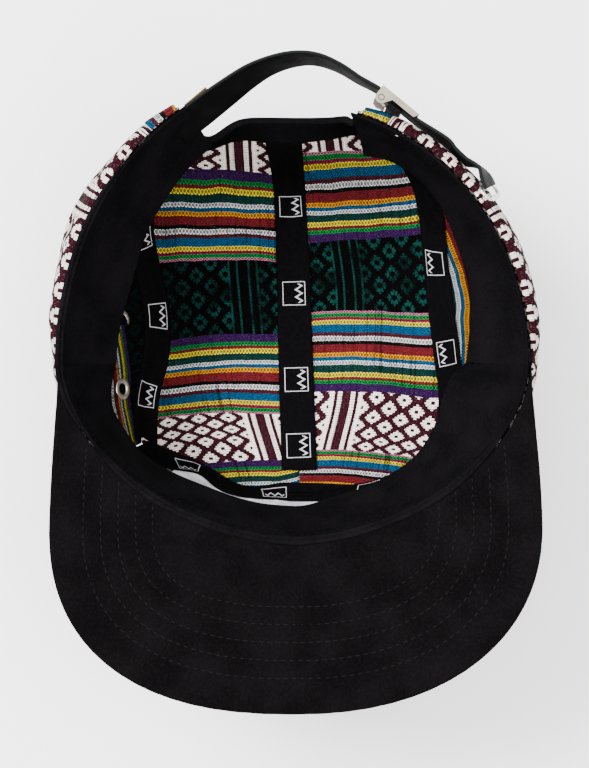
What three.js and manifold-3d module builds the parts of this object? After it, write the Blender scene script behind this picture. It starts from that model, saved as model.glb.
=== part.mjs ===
// A five-panel cap lying upside down on its crown, in millimetres, +Z up.
// It is drawn in the cap's own frame, x to the right, y to the back and z out of the
// opening, with the rim near z = 0, and then tipped so that its crown lies on the floor.
import * as THREE from 'three';
import Module from 'manifold-3d';
import { mergeVertices } from 'three/addons/utils/BufferGeometryUtils.js';

const wasm = await Module();
wasm.setup();

// How the cap lies: the tilt of its rim, and where the cap frame's origin comes to.
const REST = { tiltDegrees: 12, shift: [-0.381, 0.499, 97.1814] };

// The opening: half width, reach to the front and to the back on each side of y = centreY.
const RIM = { halfWidth: 91, front: 68, backLeft: 112, backRight: 100, centreY: 8, frontPower: 1.8 };
// Angles round the opening, in degrees from the front, where a piece starts or ends.
const ANGLE = { frontCorner: 60, brimCorner: 96, leftEnd: 151.1, rightEnd: 164.7 };
// The cut-out at the back: middle, half width, height and squareness of its arch.
const ARCH = { centreX: -10, halfWidth: 34, height: 42, power: 2.8, seamAngle: 28.9 };
// The flat brim: a plate bent once about a line along y.
const BRIM = {
  halfWidth: 93.3, sideEnd: -50, reach: 73.5, power: 2.5, thickness: 3,
  seamHeight: 8, slope: 0.344, sidesLift: 0.00158, cornerY: -1.5, curveShare: 0.76, lift: 0.4,
};
// The crown lies on the plane z = height - slope * (y - start).
const FLOOR = { height: -90, slope: Math.tan((REST.tiltDegrees * Math.PI) / 180), start: -44 };
const WALL = { cloth: 1.2, backing: 1.0, tape: 0.9, band: 1.3, strap: 1.6, gap: 0.35, seamGap: 0.5 };
const TAPE_HALF_WIDTH = 6.6;
// The backing: how deep its crumples go, and how many run across it and up it.
const CRUMPLE = { depth: 0.9, across: 23, up: 9, slant: 5 };
// The sweatband stands off the rim, and its lean grows with a power of the way down.
const BAND = { stand: 0.6, power: 1.25 };
const BINDING_WIDTH = 12.5;
// How far the walls stand out between their seams.
const BULGE = { side: 18, sideSeam: 7, front: 6, top: 10 };

// The side seams from the front corner to the arch, one row for each station.
const SIDE_SEAM = {
  left: [
    { x: -64, y: -25, z: -82 }, { x: -63.5, y: -4, z: -86 }, { x: -59, y: 14, z: -89 },
    { x: -58.3, y: 31, z: -91 }, { x: -62, y: 49, z: -90 }, { x: -65, y: 66, z: -84 },
    { x: -62, y: 83, z: -68 }, { x: -53, y: 97, z: -46 },
  ],
  right: [
    { x: 64, y: -25, z: -82 }, { x: 67, y: -4, z: -86 }, { x: 65, y: 14, z: -88 },
    { x: 62, y: 32, z: -88 }, { x: 59.5, y: 50, z: -86 }, { x: 57.5, y: 68, z: -79 },
    { x: 53, y: 84, z: -65 }, { x: 41, y: 97.5, z: -46 },
  ],
};
// The centre seam from the front seam to the arch: y and z, with x drifting to the left.
const CENTRE_SEAM = [
  { y: -46, z: -89.5 }, { y: -30, z: -93 }, { y: -8, z: -97.7 }, { y: 15, z: -102.5 },
  { y: 40, z: -107.9 }, { y: 60, z: -109.5 }, { y: 76, z: -105 }, { y: 86.5, z: -94 },
  { y: 91.5, z: -79 }, { y: 94.5, z: -65 }, { y: 98.5, z: -52 },
];
const CENTRE_DRIFT = { front: 2.5, back: -5 };
const FRONT_SEAM = { halfWidth: 64, middleY: -46, cornerRise: 21, middleZ: -89.5, cornerZ: 7.5 };

// The sweatband: lean into the cap and depth of its free edge, by angle round the rim.
const SWEATBAND = [
  { angle: -151, lean: 15.5, depth: 28 }, { angle: -135, lean: 17.5, depth: 31 },
  { angle: -115, lean: 19.5, depth: 32 }, { angle: -95, lean: 19.5, depth: 32 },
  { angle: -83, lean: 18.5, depth: 33 }, { angle: -65, lean: 9.5, depth: 33 },
  { angle: -50, lean: 8.5, depth: 33 }, { angle: -25, lean: 9.8, depth: 33 },
  { angle: 0, lean: 10.5, depth: 33 }, { angle: 20, lean: 11, depth: 33 },
  { angle: 42, lean: 15, depth: 33 }, { angle: 54, lean: 20, depth: 33 },
  { angle: 66, lean: 25.5, depth: 33 }, { angle: 76, lean: 25.5, depth: 33 },
  { angle: 95, lean: 20, depth: 32 }, { angle: 115, lean: 14.5, depth: 32 },
  { angle: 135, lean: 8.5, depth: 31 }, { angle: 147, lean: 6, depth: 30 },
  { angle: 164.7, lean: 9, depth: 28 },
];

// The strap's two edges where it spans the cut-out: near is the edge at the rim.
const STRAP = [
  { nearX: -42.6, nearY: 106.8, nearZ: -2, farX: -37, farY: 98.9, farZ: -16 },
  { nearX: -37, nearY: 110.8, nearZ: -0.5, farX: -31.5, farY: 103, farZ: -14 },
  { nearX: -28, nearY: 116.8, nearZ: 1, farX: -23.2, farY: 109.8, farZ: -13.3 },
  { nearX: -18.7, nearY: 122.3, nearZ: 2, farX: -15.3, farY: 116.4, farZ: -13.5 },
  { nearX: -9.6, nearY: 125.8, nearZ: 2, farX: -7.9, farY: 121.3, farZ: -14 },
  { nearX: 0, nearY: 127.6, nearZ: 2, farX: 0.3, farY: 124.2, farZ: -14.3 },
  { nearX: 9, nearY: 126.8, nearZ: 1.8, farX: 8, farY: 124.8, farZ: -14.6 },
  { nearX: 17.5, nearY: 123.2, nearZ: 1, farX: 16.6, farY: 122.4, farZ: -15.4 },
  { nearX: 25.4, nearY: 118, nearZ: 0.3, farX: 25, farY: 117.8, farZ: -16.2 },
];
// Where the strap runs outside the right panel: how far it stands off the cloth there, and
// how upright it is, from 1 to 0 where it lies along the cloth. At its end it passes over
// the slot ring's near bar and into its slot.
const STRAP_HALF_WIDTH = 8.2;
const STRAP_DEPTH = 8.2;
const STRAP_LEAN = 1.2;
const TAIL = [
  { angle: 144.5, stand: 1.6, upright: 1 }, { angle: 141.5, stand: 1.0, upright: 1 },
  { angle: 138.5, stand: 1.0, upright: 0.9 }, { angle: 136, stand: 1.6, upright: 0.5 },
  { angle: 134.4, stand: 2.6, upright: 0.2 }, { angle: 132.6, stand: 2.8, upright: 0 },
  { angle: 131.2, stand: 2.6, upright: 0 }, { angle: 129.9, stand: 2.0, upright: 0 },
];
// Under the strap the right panel's cloth is pressed in: from which share of its length
// on, over how much of it, and how far the cloth may stand out there.
const PRESSED = { from: 0.64, over: 0.1, stand: 3.8, free: 40 };

const STRAP_TAB = { inset: 0.06, thickness: 1, flare: 0.05 };

// The clamping lever, seen along its pin: s along the arm, d away from the cap.
const LEVER = {
  pin: [33.4, 110.2], middleZ: -8.2, direction: -39.3, length: 15.5, thickness: 0.8,
  top: 4.1, armDepth: 2.3, innerHalfWidth: 8.8, earRadius: 2.4, pinRadius: 1, plateStart: 2.6,
  neck: 4, tipBevel: 1.1,
};
// The bracket that carries the pin, in the same s and d.
const BRACKET = { earRadius: 1.3, baseStart: -1.9, baseEnd: 3.2, baseDepth: 2.1 };
// The short leather end under the lever: its thickness goes from low to high.
const TAB = {
  halfWidth: 7.5,
  rows: [{ s: 3.7, low: -2, high: 0.6 }, { s: 6.5, low: -1.4, high: 0.9 }, { s: 9.5, low: -0.4, high: 0.95 }],
};

// Vent eyelets: where each sits on its side panel, as shares along it and up it.
const EYELETS = [
  { name: 'eyelet_left_front', side: -1, along: 0.17, up: 0.85 },
  { name: 'eyelet_left_back', side: -1, along: 0.37, up: 0.84 },
  { name: 'eyelet_right_front', side: 1, along: 0.27, up: 0.84 },
  { name: 'eyelet_right_back', side: 1, along: 0.5, up: 0.82 },
];
const EYELET = { bore: 2.2, barrel: 2.9, flange: 4.6, hole: 3.3, stand: 0.55, sheet: 0.5, drill: 8 };
const SLOT_RING = {
  along: 0.66, up: 0.13, halfLength: 11.5, halfWidth: 4.2, bar: 1.9, height: 1.1, bevel: 0.25,
};

const V = (x, y, z) => new THREE.Vector3(x, y, z);
const MIDDLE = V(0, 20, -45);
const radians = (degrees) => (degrees * Math.PI) / 180;
const power = (value, exponent) => Math.sign(value) * Math.abs(value) ** exponent;
const clamp01 = (value) => Math.min(1, Math.max(0, value));
const smooth = (value) => clamp01(value) ** 2 * (3 - 2 * clamp01(value));
const mix = (a, b, share) => a.clone().lerp(b, share);

// A smooth value through evenly spaced rows, worked out as a Catmull-Rom spline.
function spline(values, share) {
  const place = clamp01(share) * (values.length - 1);
  const index = Math.min(Math.floor(place), values.length - 2);
  const t = place - index;
  const b = values[index];
  const c = values[index + 1];
  const a = index > 0 ? values[index - 1] : 2 * b - c;
  const d = index < values.length - 2 ? values[index + 2] : 2 * c - b;
  return b + 0.5 * t * (c - a + t * (2 * a - 5 * b + 4 * c - d + t * (3 * (b - c) + d - a)));
}

function splinePoint(points, share) {
  return V(...['x', 'y', 'z'].map((axis) => spline(points.map((point) => point[axis]), share)));
}

// A value read from rows whose angles rise, with straight runs between rows.
function tableValue(rows, column, angle) {
  const next = rows.findIndex((row) => row.angle >= angle);
  if (next <= 0) {
    return rows[next === 0 ? 0 : rows.length - 1][column];
  }
  const [before, after] = [rows[next - 1], rows[next]];
  const share = (angle - before.angle) / (after.angle - before.angle);
  return before[column] + (after[column] - before[column]) * share;
}

function brimHeight(x, y) {
  return BRIM.seamHeight + BRIM.slope * (-y - (RIM.front - RIM.centreY)) + BRIM.sidesLift * x * x;
}

// The rim: a half superellipse in front and two quarter ellipses behind.
function rimPoint(angle) {
  const [sine, cosine] = [Math.sin(radians(angle)), Math.cos(radians(angle))];
  if (cosine < 0) {
    const back = angle < 0 ? RIM.backLeft : RIM.backRight;
    return V(RIM.halfWidth * sine, RIM.centreY - back * cosine, 0);
  }
  const exponent = 2 / RIM.frontPower;
  const x = RIM.halfWidth * power(sine, exponent);
  const y = RIM.centreY - RIM.front * power(cosine, exponent);
  return V(x, y, brimHeight(x, y) * smooth(-y / 12));
}

function rimOutward(angle) {
  const along = rimPoint(angle + 0.5).sub(rimPoint(angle - 0.5));
  return V(along.y, -along.x, 0).normalize();
}

// The panels' edge at the rim, which passes below the brim where there is one.
function panelRim(angle) {
  const below = 0.4 + (BRIM.thickness - 0.3) * smooth((ANGLE.brimCorner + 5 - Math.abs(angle)) / 5);
  return rimPoint(angle).add(V(0, 0, -below));
}

// The arch from the left end of the rim, at 0 degrees, to its right end, at 180.
function archPoint(angle) {
  const [sine, cosine] = [Math.sin(radians(angle)), Math.cos(radians(angle))];
  const exponent = 2 / ARCH.power;
  const leftY = panelRim(-ANGLE.leftEnd).y;
  const rightY = panelRim(ANGLE.rightEnd).y;
  const x = ARCH.centreX - ARCH.halfWidth * power(cosine, exponent);
  const y = leftY + ((rightY - leftY) * (1 - cosine)) / 2;
  return V(x, y, -0.4 - (ARCH.height - 0.4) * power(sine, exponent));
}

function archSeamPoint(side) {
  return archPoint(side < 0 ? ARCH.seamAngle : 180 - ARCH.seamAngle);
}

function sideSeam(side, share) {
  const rows = side < 0 ? SIDE_SEAM.left : SIDE_SEAM.right;
  return splinePoint([...rows, archSeamPoint(side)], share);
}

function centreSeam(share) {
  const top = archPoint(90);
  const x = CENTRE_DRIFT.front + (CENTRE_DRIFT.back - CENTRE_DRIFT.front) * share;
  const y = spline([...CENTRE_SEAM.map((row) => row.y), top.y], share);
  const z = spline([...CENTRE_SEAM.map((row) => row.z), top.z], share);
  return V(x, y, z);
}

// The front seam from the left corner, at -1, to the right corner, at 1.
function frontSeam(across) {
  const bend = Math.abs(across) ** 2.2;
  const shift = CENTRE_DRIFT.front * (1 - across * across);
  const x = FRONT_SEAM.halfWidth * across + shift;
  const y = FRONT_SEAM.middleY + FRONT_SEAM.cornerRise * bend;
  return V(x, y, FRONT_SEAM.middleZ + FRONT_SEAM.cornerZ * bend);
}

// The upright seam between the front panel and a side panel, from the rim up.
function uprightSeam(side, share) {
  const low = panelRim(side * ANGLE.frontCorner);
  const point = mix(low, sideSeam(side, 0), share);
  const stand = BULGE.sideSeam * 4 * share * (1 - share);
  return point.addScaledVector(rimOutward(side * ANGLE.frontCorner), stand);
}

// A patch that meets four edge curves, and the height that it stands out between them.
function coons(edges, stand) {
  const { low, high, first, last } = edges;
  const corners = [low(0), low(1), high(0), high(1)];
  return (u, v) => {
    const point = low(u).multiplyScalar(1 - v).addScaledVector(high(u), v);
    point.addScaledVector(first(v), 1 - u).addScaledVector(last(v), u);
    point.addScaledVector(corners[0], -(1 - u) * (1 - v)).addScaledVector(corners[1], -u * (1 - v));
    point.addScaledVector(corners[2], -(1 - u) * v).addScaledVector(corners[3], -u * v);
    return point.add(stand(u, v));
  };
}

function normalOf(patch, u, v) {
  const step = 2e-3;
  const [u0, u1] = [Math.max(0, u - step), Math.min(1, u + step)];
  const [v0, v1] = [Math.max(0, v - step), Math.min(1, v + step)];
  const alongU = patch(u1, v).sub(patch(u0, v));
  const alongV = patch(u, v1).sub(patch(u, v0));
  const normal = alongU.cross(alongV).normalize();
  return normal.dot(patch(u, v).sub(MIDDLE)) < 0 ? normal.negate() : normal;
}

// Cloth that would lie lower than the floor is flattened on it.
function onFloor(point, above) {
  const floor = FLOOR.height - FLOOR.slope * (point.y - FLOOR.start) + above;
  const over = point.z - floor;
  point.z = floor + 0.5 * (over + Math.sqrt(over * over + 0.1));
  return point.z < floor + 0.02 ? point.setZ(floor) : point;
}

const FLAT = WALL.cloth / Math.cos(radians(REST.tiltDegrees));

// Holds a stand-out below the strap's limit, with a soft change into it.
function pressed(side, u, stand) {
  if (side < 0) {
    return stand;
  }
  const share = smooth((u - PRESSED.from) / PRESSED.over);
  const limit = PRESSED.free + (PRESSED.stand - PRESSED.free) * share;
  return stand / (1 + (stand / limit) ** 4) ** 0.25;
}

function sidePanel(side) {
  const end = side < 0 ? ANGLE.leftEnd : ANGLE.rightEnd;
  const angleAt = (u) => side * (ANGLE.frontCorner + (end - ANGLE.frontCorner) * u);
  const seamAngle = side < 0 ? ARCH.seamAngle : 180 - ARCH.seamAngle;
  const archStart = side < 0 ? 0 : 180;
  const last = (v) => archPoint(archStart + (seamAngle - archStart) * v);
  const stand = (u, v) => {
    const along = (BULGE.side - (1 - u) * BULGE.sideSeam) * Math.sin(Math.PI * u ** 0.85);
    return rimOutward(angleAt(u)).multiplyScalar(pressed(side, u, along * 4 * v * (1 - v)));
  };
  const edges = {
    low: (u) => panelRim(angleAt(u)), high: (u) => sideSeam(side, u),
    first: (v) => uprightSeam(side, v), last,
  };
  return coons(edges, stand);
}

function topPanel(side) {
  const archEnd = side < 0 ? ARCH.seamAngle : 180 - ARCH.seamAngle;
  const stand = (u, v) => V(0, 0, -BULGE.top * 4 * u * (1 - u) * Math.sin(Math.PI * v));
  const edges = {
    low: (u) => frontSeam(side * u), high: (u) => archPoint(90 + (archEnd - 90) * u),
    first: (v) => centreSeam(v), last: (v) => sideSeam(side, v),
  };
  const patch = coons(edges, stand);
  return (u, v) => onFloor(patch(u, v), FLAT);
}

function frontPanel() {
  const stand = (u, v) => V(0, -BULGE.front * Math.sin(Math.PI * u) * 4 * v * (1 - v), 0);
  const edges = {
    low: (u) => panelRim(ANGLE.frontCorner * (2 * u - 1)), high: (u) => frontSeam(2 * u - 1),
    first: (v) => uprightSeam(-1, v), last: (v) => uprightSeam(1, v),
  };
  const patch = coons(edges, stand);
  return (u, v) => onFloor(patch(u, v), FLAT);
}

const PATCH = {
  front: frontPanel(), topLeft: topPanel(-1), topRight: topPanel(1),
  sideLeft: sidePanel(-1), sideRight: sidePanel(1),
};

// A closed body between an inner and an outer grid of points with the same rows.
function slab(inner, outer) {
  const [rows, columns] = [inner.length, inner[0].length];
  const points = [...inner.flat(), ...outer.flat()];
  const at = (layer, row, column) => layer * rows * columns + row * columns + column;
  const faces = [];
  const quad = (a, b, c, d) => faces.push(a, b, c, a, c, d);
  for (let row = 0; row < rows - 1; row += 1) {
    for (let column = 0; column < columns - 1; column += 1) {
      const [up, right] = [row + 1, column + 1];
      quad(at(0, row, column), at(0, up, column), at(0, up, right), at(0, row, right));
      quad(at(1, row, column), at(1, row, right), at(1, up, right), at(1, up, column));
    }
  }
  for (let row = 0; row < rows - 1; row += 1) {
    quad(at(0, row, 0), at(1, row, 0), at(1, row + 1, 0), at(0, row + 1, 0));
    const edge = columns - 1;
    quad(at(0, row, edge), at(0, row + 1, edge), at(1, row + 1, edge), at(1, row, edge));
  }
  for (let column = 0; column < columns - 1; column += 1) {
    quad(at(0, 0, column), at(0, 0, column + 1), at(1, 0, column + 1), at(1, 0, column));
    const edge = rows - 1;
    quad(at(0, edge, column), at(1, edge, column), at(1, edge, column + 1), at(0, edge, column + 1));
  }
  return bodyFrom(points, faces);
}

function bodyFrom(points, faces) {
  let volume = 0;
  for (let face = 0; face < faces.length; face += 3) {
    const [a, b, c] = [points[faces[face]], points[faces[face + 1]], points[faces[face + 2]]];
    volume += a.dot(b.clone().cross(c));
  }
  const geometry = new THREE.BufferGeometry();
  const numbers = points.flatMap((point) => [point.x, point.y, point.z]);
  geometry.setAttribute('position', new THREE.Float32BufferAttribute(numbers, 3));
  geometry.setIndex(volume > 0 ? faces : faces.reverse());
  return geometry;
}

const steps = (count, from = 0, to = 1) =>
  Array.from({ length: count + 1 }, (_, index) => from + ((to - from) * index) / count);

// A cloth panel: the patch is its inner face, and its wall goes outwards.
function panelBody(patch, columns, rows) {
  const grid = (offset) => steps(rows).map((row) =>
    steps(columns).map((column) => {
      const insetU = WALL.seamGap / patch(0, row).distanceTo(patch(1, row));
      const insetV = WALL.seamGap / patch(column, 0).distanceTo(patch(column, 1));
      const [u, v] = [insetU + (1 - 2 * insetU) * column, insetV + (1 - 2 * insetV) * row];
      return patch(u, v).addScaledVector(normalOf(patch, u, v), offset);
    }));
  return slab(grid(0), grid(WALL.cloth));
}

// Tape over a seam: each station lists points from one side of the seam to the other,
// each with the patch's normal there, and the tape stands inwards of them.
function tapeBody(stations, lift = WALL.seamGap, thickness = WALL.tape) {
  const layer = (offset) => stations.map((station) =>
    station.map(({ point, normal }) => point.clone().addScaledVector(normal, -offset)));
  return slab(layer(lift + thickness), layer(lift));
}

function onPatch(patch, u, v) {
  return { point: patch(u, v), normal: normalOf(patch, u, v) };
}

// The share of a patch that a width takes up from one of its edges, along u or along v.
// It starts from a small share and is corrected by the distance that it gives.
function shareOf(patch, u, v, alongU, width) {
  const inwards = (alongU ? u : v) < 0.5 ? 1 : -1;
  let share = 0.02;
  for (let turn = 0; turn < 6; turn += 1) {
    const moved = inwards * share;
    const next = alongU ? patch(u + moved, v) : patch(u, v + moved);
    share *= width / next.distanceTo(patch(u, v));
  }
  return share;
}

// One station over a seam: two patches meet there, and each goes off its own way.
function seamStation(first, second) {
  const near = 0.01;
  const sum = first(near).normal.clone().add(second(near).normal);
  const middle = { point: first(near).point, normal: sum };
  const stretch = 2 / middle.normal.lengthSq();
  middle.normal.multiplyScalar(stretch);
  const half = TAPE_HALF_WIDTH;
  return [first(half), first(half / 2), middle, second(half / 2), second(half)];
}

function sideTape(side, columns) {
  const sidePatch = side < 0 ? PATCH.sideLeft : PATCH.sideRight;
  const topPatch = side < 0 ? PATCH.topLeft : PATCH.topRight;
  return tapeBody(steps(columns, 0.075, 0.9).map((share) => seamStation(
    (width) => onPatch(sidePatch, share, 1 - shareOf(sidePatch, share, 1, false, width)),
    (width) => onPatch(topPatch, 1 - shareOf(topPatch, 1, share, true, width), share),
  )));
}

function centreTape(columns) {
  const half = (patch, share) => (width) => onPatch(patch, shareOf(patch, 0, share, true, width), share);
  return tapeBody(steps(columns, 0.055, 0.895).map((share) =>
    seamStation(half(PATCH.topLeft, share), half(PATCH.topRight, share))), WALL.seamGap + 0.3);
}

function frontTape(columns) {
  return tapeBody(steps(columns, -0.93, 0.93).map((across) => {
    const topPatch = across < 0 ? PATCH.topLeft : PATCH.topRight;
    const u = Math.abs(across);
    const frontU = (across + 1) / 2;
    return seamStation(
      (width) => onPatch(topPatch, u, shareOf(topPatch, u, 0, false, width)),
      (width) => onPatch(PATCH.front, frontU, 1 - shareOf(PATCH.front, frontU, 1, false, width)),
    );
  }));
}

// The binding of the cut-out: a band inside its edge, over both sides and the top.
function archBinding() {
  const widths = steps(3, WALL.seamGap, BINDING_WIDTH);
  const sideStations = (patch) => steps(4, 0.3, 0.97).map((v) =>
    widths.map((width) => onPatch(patch, 1 - shareOf(patch, 1, v, true, width), v)));
  const topStations = (patch) => steps(9, 0.03, 0.96).map((u) =>
    widths.map((width) => onPatch(patch, u, 1 - shareOf(patch, u, 1, false, width))));
  return tapeBody([
    ...sideStations(PATCH.sideLeft), ...topStations(PATCH.topLeft).reverse(),
    ...topStations(PATCH.topRight), ...sideStations(PATCH.sideRight).reverse(),
  ]);
}

// The pale backing behind the front panel, a little crumpled.
function frontBacking(columns, rows) {
  const grid = (offset) => steps(rows, 0.12, 0.9).map((v) =>
    steps(columns, 0.05, 0.95).map((u) => {
      const { across, up, slant } = CRUMPLE;
      const crumple = 0.5 + 0.5 * Math.sin(across * u + slant * v) * Math.sin(up * v + slant * u);
      const inwards = WALL.seamGap + offset + CRUMPLE.depth * crumple * v;
      return PATCH.front(u, v).addScaledVector(normalOf(PATCH.front, u, v), -inwards);
    }));
  return slab(grid(WALL.backing), grid(0));
}

// The sweatband hangs from the rim and leans into the cap.
function sweatbandPoint(angle, down, inside) {
  const lean = tableValue(SWEATBAND, 'lean', angle);
  const depth = tableValue(SWEATBAND, 'depth', angle);
  const inwards = BAND.stand + inside + lean * down ** BAND.power;
  const point = rimPoint(angle).addScaledVector(rimOutward(angle), -inwards);
  return point.add(V(0, 0, -depth * down));
}

function sweatband(columns, rows) {
  const grid = (inside) => steps(rows).map((down) =>
    steps(columns, 1 - ANGLE.leftEnd, ANGLE.rightEnd).map((angle) => sweatbandPoint(angle, down, inside)));
  return slab(grid(WALL.band), grid(0));
}

// The brim's outline: straight sides and a superellipse in front, from -1 to 1.
function brimOutline(across) {
  const side = Math.sign(across) || 1;
  const share = Math.abs(across);
  if (share > BRIM.curveShare) {
    const back = (share - BRIM.curveShare) / (1 - BRIM.curveShare);
    const corner = RIM.halfWidth + 0.2;
    const x = BRIM.halfWidth + (corner - BRIM.halfWidth) * back ** 2;
    return V(side * x, BRIM.sideEnd + (BRIM.cornerY - BRIM.sideEnd) * back, 0);
  }
  const angle = (share / BRIM.curveShare) * 90;
  const exponent = 2 / BRIM.power;
  const x = BRIM.halfWidth * Math.sin(radians(angle)) ** exponent;
  return V(side * x, BRIM.sideEnd - BRIM.reach * Math.cos(radians(angle)) ** exponent, 0);
}

function brimPoint(across, out, below) {
  const inner = rimPoint(across * ANGLE.brimCorner);
  const outer = brimOutline(across);
  const point = mix(inner, outer, out);
  const height = Math.max(brimHeight(point.x, point.y), 0) * smooth(-point.y / 12);
  return V(point.x, point.y, height + BRIM.lift - below);
}

function brim(columns, rows) {
  const grid = (below) => steps(rows).map((out) =>
    steps(columns, -1, 1).map((across) => {
      const edge = BRIM.thickness * 0.18 * smooth((out - 0.9) * 10);
      return brimPoint(across, out, below + (below > 0 ? -edge : edge));
    }));
  return slab(grid(BRIM.thickness), grid(0));
}

// The strap: stations of four corners round its section, from the left end to the tail.
function strapStations() {
  const free = steps(26).map((share) => {
    const near = splinePoint(STRAP.map((row) => ({ x: row.nearX, y: row.nearY, z: row.nearZ })), share);
    const far = splinePoint(STRAP.map((row) => ({ x: row.farX, y: row.farY, z: row.farZ })), share);
    return { near, far };
  });
  return [...free, ...buckleStations(), ...tailStations()];
}

function leverPoint(s, d, z) {
  const turn = radians(LEVER.direction);
  const x = LEVER.pin[0] + s * Math.cos(turn) - d * Math.sin(turn);
  return V(x, LEVER.pin[1] + s * Math.sin(turn) + d * Math.cos(turn), z);
}

// Inside the buckle the strap runs straight, between the pin and the lever's plate.
function buckleStations() {
  const middle = LEVER.pinRadius + WALL.gap + 0.15 + WALL.strap / 2;
  return steps(4, -3.5, 16.2).map((s) => ({
    near: leverPoint(s, middle, LEVER.middleZ + STRAP_HALF_WIDTH),
    far: leverPoint(s, middle, LEVER.middleZ - STRAP_HALF_WIDTH),
  }));
}

// The side panel's place at an angle round the rim, at a depth below it.
function outsideRight(angle, depth, stand) {
  const u = (angle - ANGLE.frontCorner) / (ANGLE.rightEnd - ANGLE.frontCorner);
  let [low, high] = [0, 0.5];
  for (let turn = 0; turn < 24; turn += 1) {
    const middle = (low + high) / 2;
    [low, high] = PATCH.sideRight(u, middle).z > -depth ? [middle, high] : [low, middle];
  }
  return PATCH.sideRight(u, low).addScaledVector(normalOf(PATCH.sideRight, u, low), WALL.cloth + stand);
}

function tailStations() {
  return TAIL.map((row) => {
    const stand = row.stand + WALL.strap / 2;
    const low = STRAP_DEPTH - STRAP_HALF_WIDTH + WALL.strap / 2;
    const lying = outsideRight(row.angle, low, stand);
    const far = outsideRight(row.angle, STRAP_DEPTH + STRAP_HALF_WIDTH, stand);
    const upright = far.clone().addScaledVector(rimOutward(row.angle), -STRAP_LEAN).setZ(-low);
    return { near: mix(lying, upright, row.upright), far };
  });
}

// A flat strip through stations that name its two edges, with square corners.
function stripBody(stations, thickness, standOff = () => 0) {
  const frames = stations.map(({ near, far }, index) => {
    const before = stations[Math.max(0, index - 1)];
    const after = stations[Math.min(stations.length - 1, index + 1)];
    const along = after.near.clone().add(after.far).sub(before.near).sub(before.far);
    const across = far.clone().sub(near);
    return { near, far, out: along.cross(across).normalize() };
  });
  const layer = (offset) => frames.map(({ near, far, out }, index) =>
    steps(2).map((share) => mix(near, far, share).addScaledVector(out, offset + standOff(index))));
  return slab(layer(-thickness / 2), layer(thickness / 2));
}

// The small brown end that lies on the strap's outer side at the left and stands off it.
function strapTab() {
  const stations = strapStations().slice(1, 6).map(({ near, far }) => ({
    near: mix(near, far, STRAP_TAB.inset), far: mix(near, far, 1 - STRAP_TAB.inset),
  }));
  const lift = (WALL.strap + STRAP_TAB.thickness) / 2 + WALL.gap;
  return stripBody(stations, STRAP_TAB.thickness, (index) => lift + STRAP_TAB.flare * index ** 2);
}

function extruded(outline, depth, holes = []) {
  const shape = new THREE.Shape(outline);
  shape.holes = holes.map(({ x, y, radius }) => new THREE.Path().absarc(x, y, radius, 0, 2 * Math.PI));
  return new THREE.ExtrudeGeometry(shape, { depth, bevelEnabled: false, curveSegments: 8 });
}

function asSolid(geometry) {
  const plain = geometry.clone();
  plain.deleteAttribute('normal');
  plain.deleteAttribute('uv');
  const merged = mergeVertices(plain, 1e-4);
  return new wasm.Manifold(new wasm.Mesh({
    numProp: 3,
    vertProperties: Float32Array.from(merged.attributes.position.array),
    triVerts: Uint32Array.from(merged.index.array),
  }));
}

function fromSolid(solid) {
  const { vertProperties, triVerts } = solid.getMesh();
  const geometry = new THREE.BufferGeometry();
  geometry.setAttribute('position', new THREE.BufferAttribute(vertProperties, 3));
  geometry.setIndex(new THREE.BufferAttribute(triVerts, 1));
  return geometry;
}

const joined = (geometries) => fromSolid(geometries.map(asSolid).reduce((all, one) => all.add(one)));
const cut = (geometry, tools) =>
  fromSolid(tools.map(asSolid).reduce((left, tool) => left.subtract(tool), asSolid(geometry)));

// Shapes of the buckle are drawn along s and d and stand along the pin's axis.
function onPin(geometry, z) {
  const turn = new THREE.Matrix4().makeRotationZ(radians(LEVER.direction));
  const place = new THREE.Matrix4().makeTranslation(LEVER.pin[0], LEVER.pin[1], z);
  return geometry.applyMatrix4(turn).applyMatrix4(place);
}

function arc(radius, from, to) {
  return steps(6, from, to).map((angle) =>
    new THREE.Vector2(radius * Math.cos(radians(angle)), radius * Math.sin(radians(angle))));
}

function leverCheek() {
  const { earRadius, top, armDepth, length, neck, tipBevel } = LEVER;
  return [
    new THREE.Vector2(-earRadius, top), ...arc(earRadius, 195, 330),
    new THREE.Vector2(neck, top - armDepth), new THREE.Vector2(length - tipBevel, top - armDepth),
    new THREE.Vector2(length, top),
  ];
}

function buckleLever() {
  const hole = [{ x: 0, y: 0, radius: LEVER.pinRadius + 0.25 }];
  const cheek = () => extruded(leverCheek(), LEVER.thickness, hole);
  const plateWidth = 2 * LEVER.innerHalfWidth + LEVER.thickness;
  const plate = new THREE.BoxGeometry(LEVER.length - LEVER.plateStart, LEVER.thickness, plateWidth);
  plate.translate((LEVER.length + LEVER.plateStart) / 2, LEVER.top - LEVER.thickness / 2, 0);
  return joined([
    onPin(cheek(), LEVER.middleZ + LEVER.innerHalfWidth),
    onPin(cheek(), LEVER.middleZ - LEVER.innerHalfWidth - LEVER.thickness),
    onPin(plate, LEVER.middleZ),
  ]);
}

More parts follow.
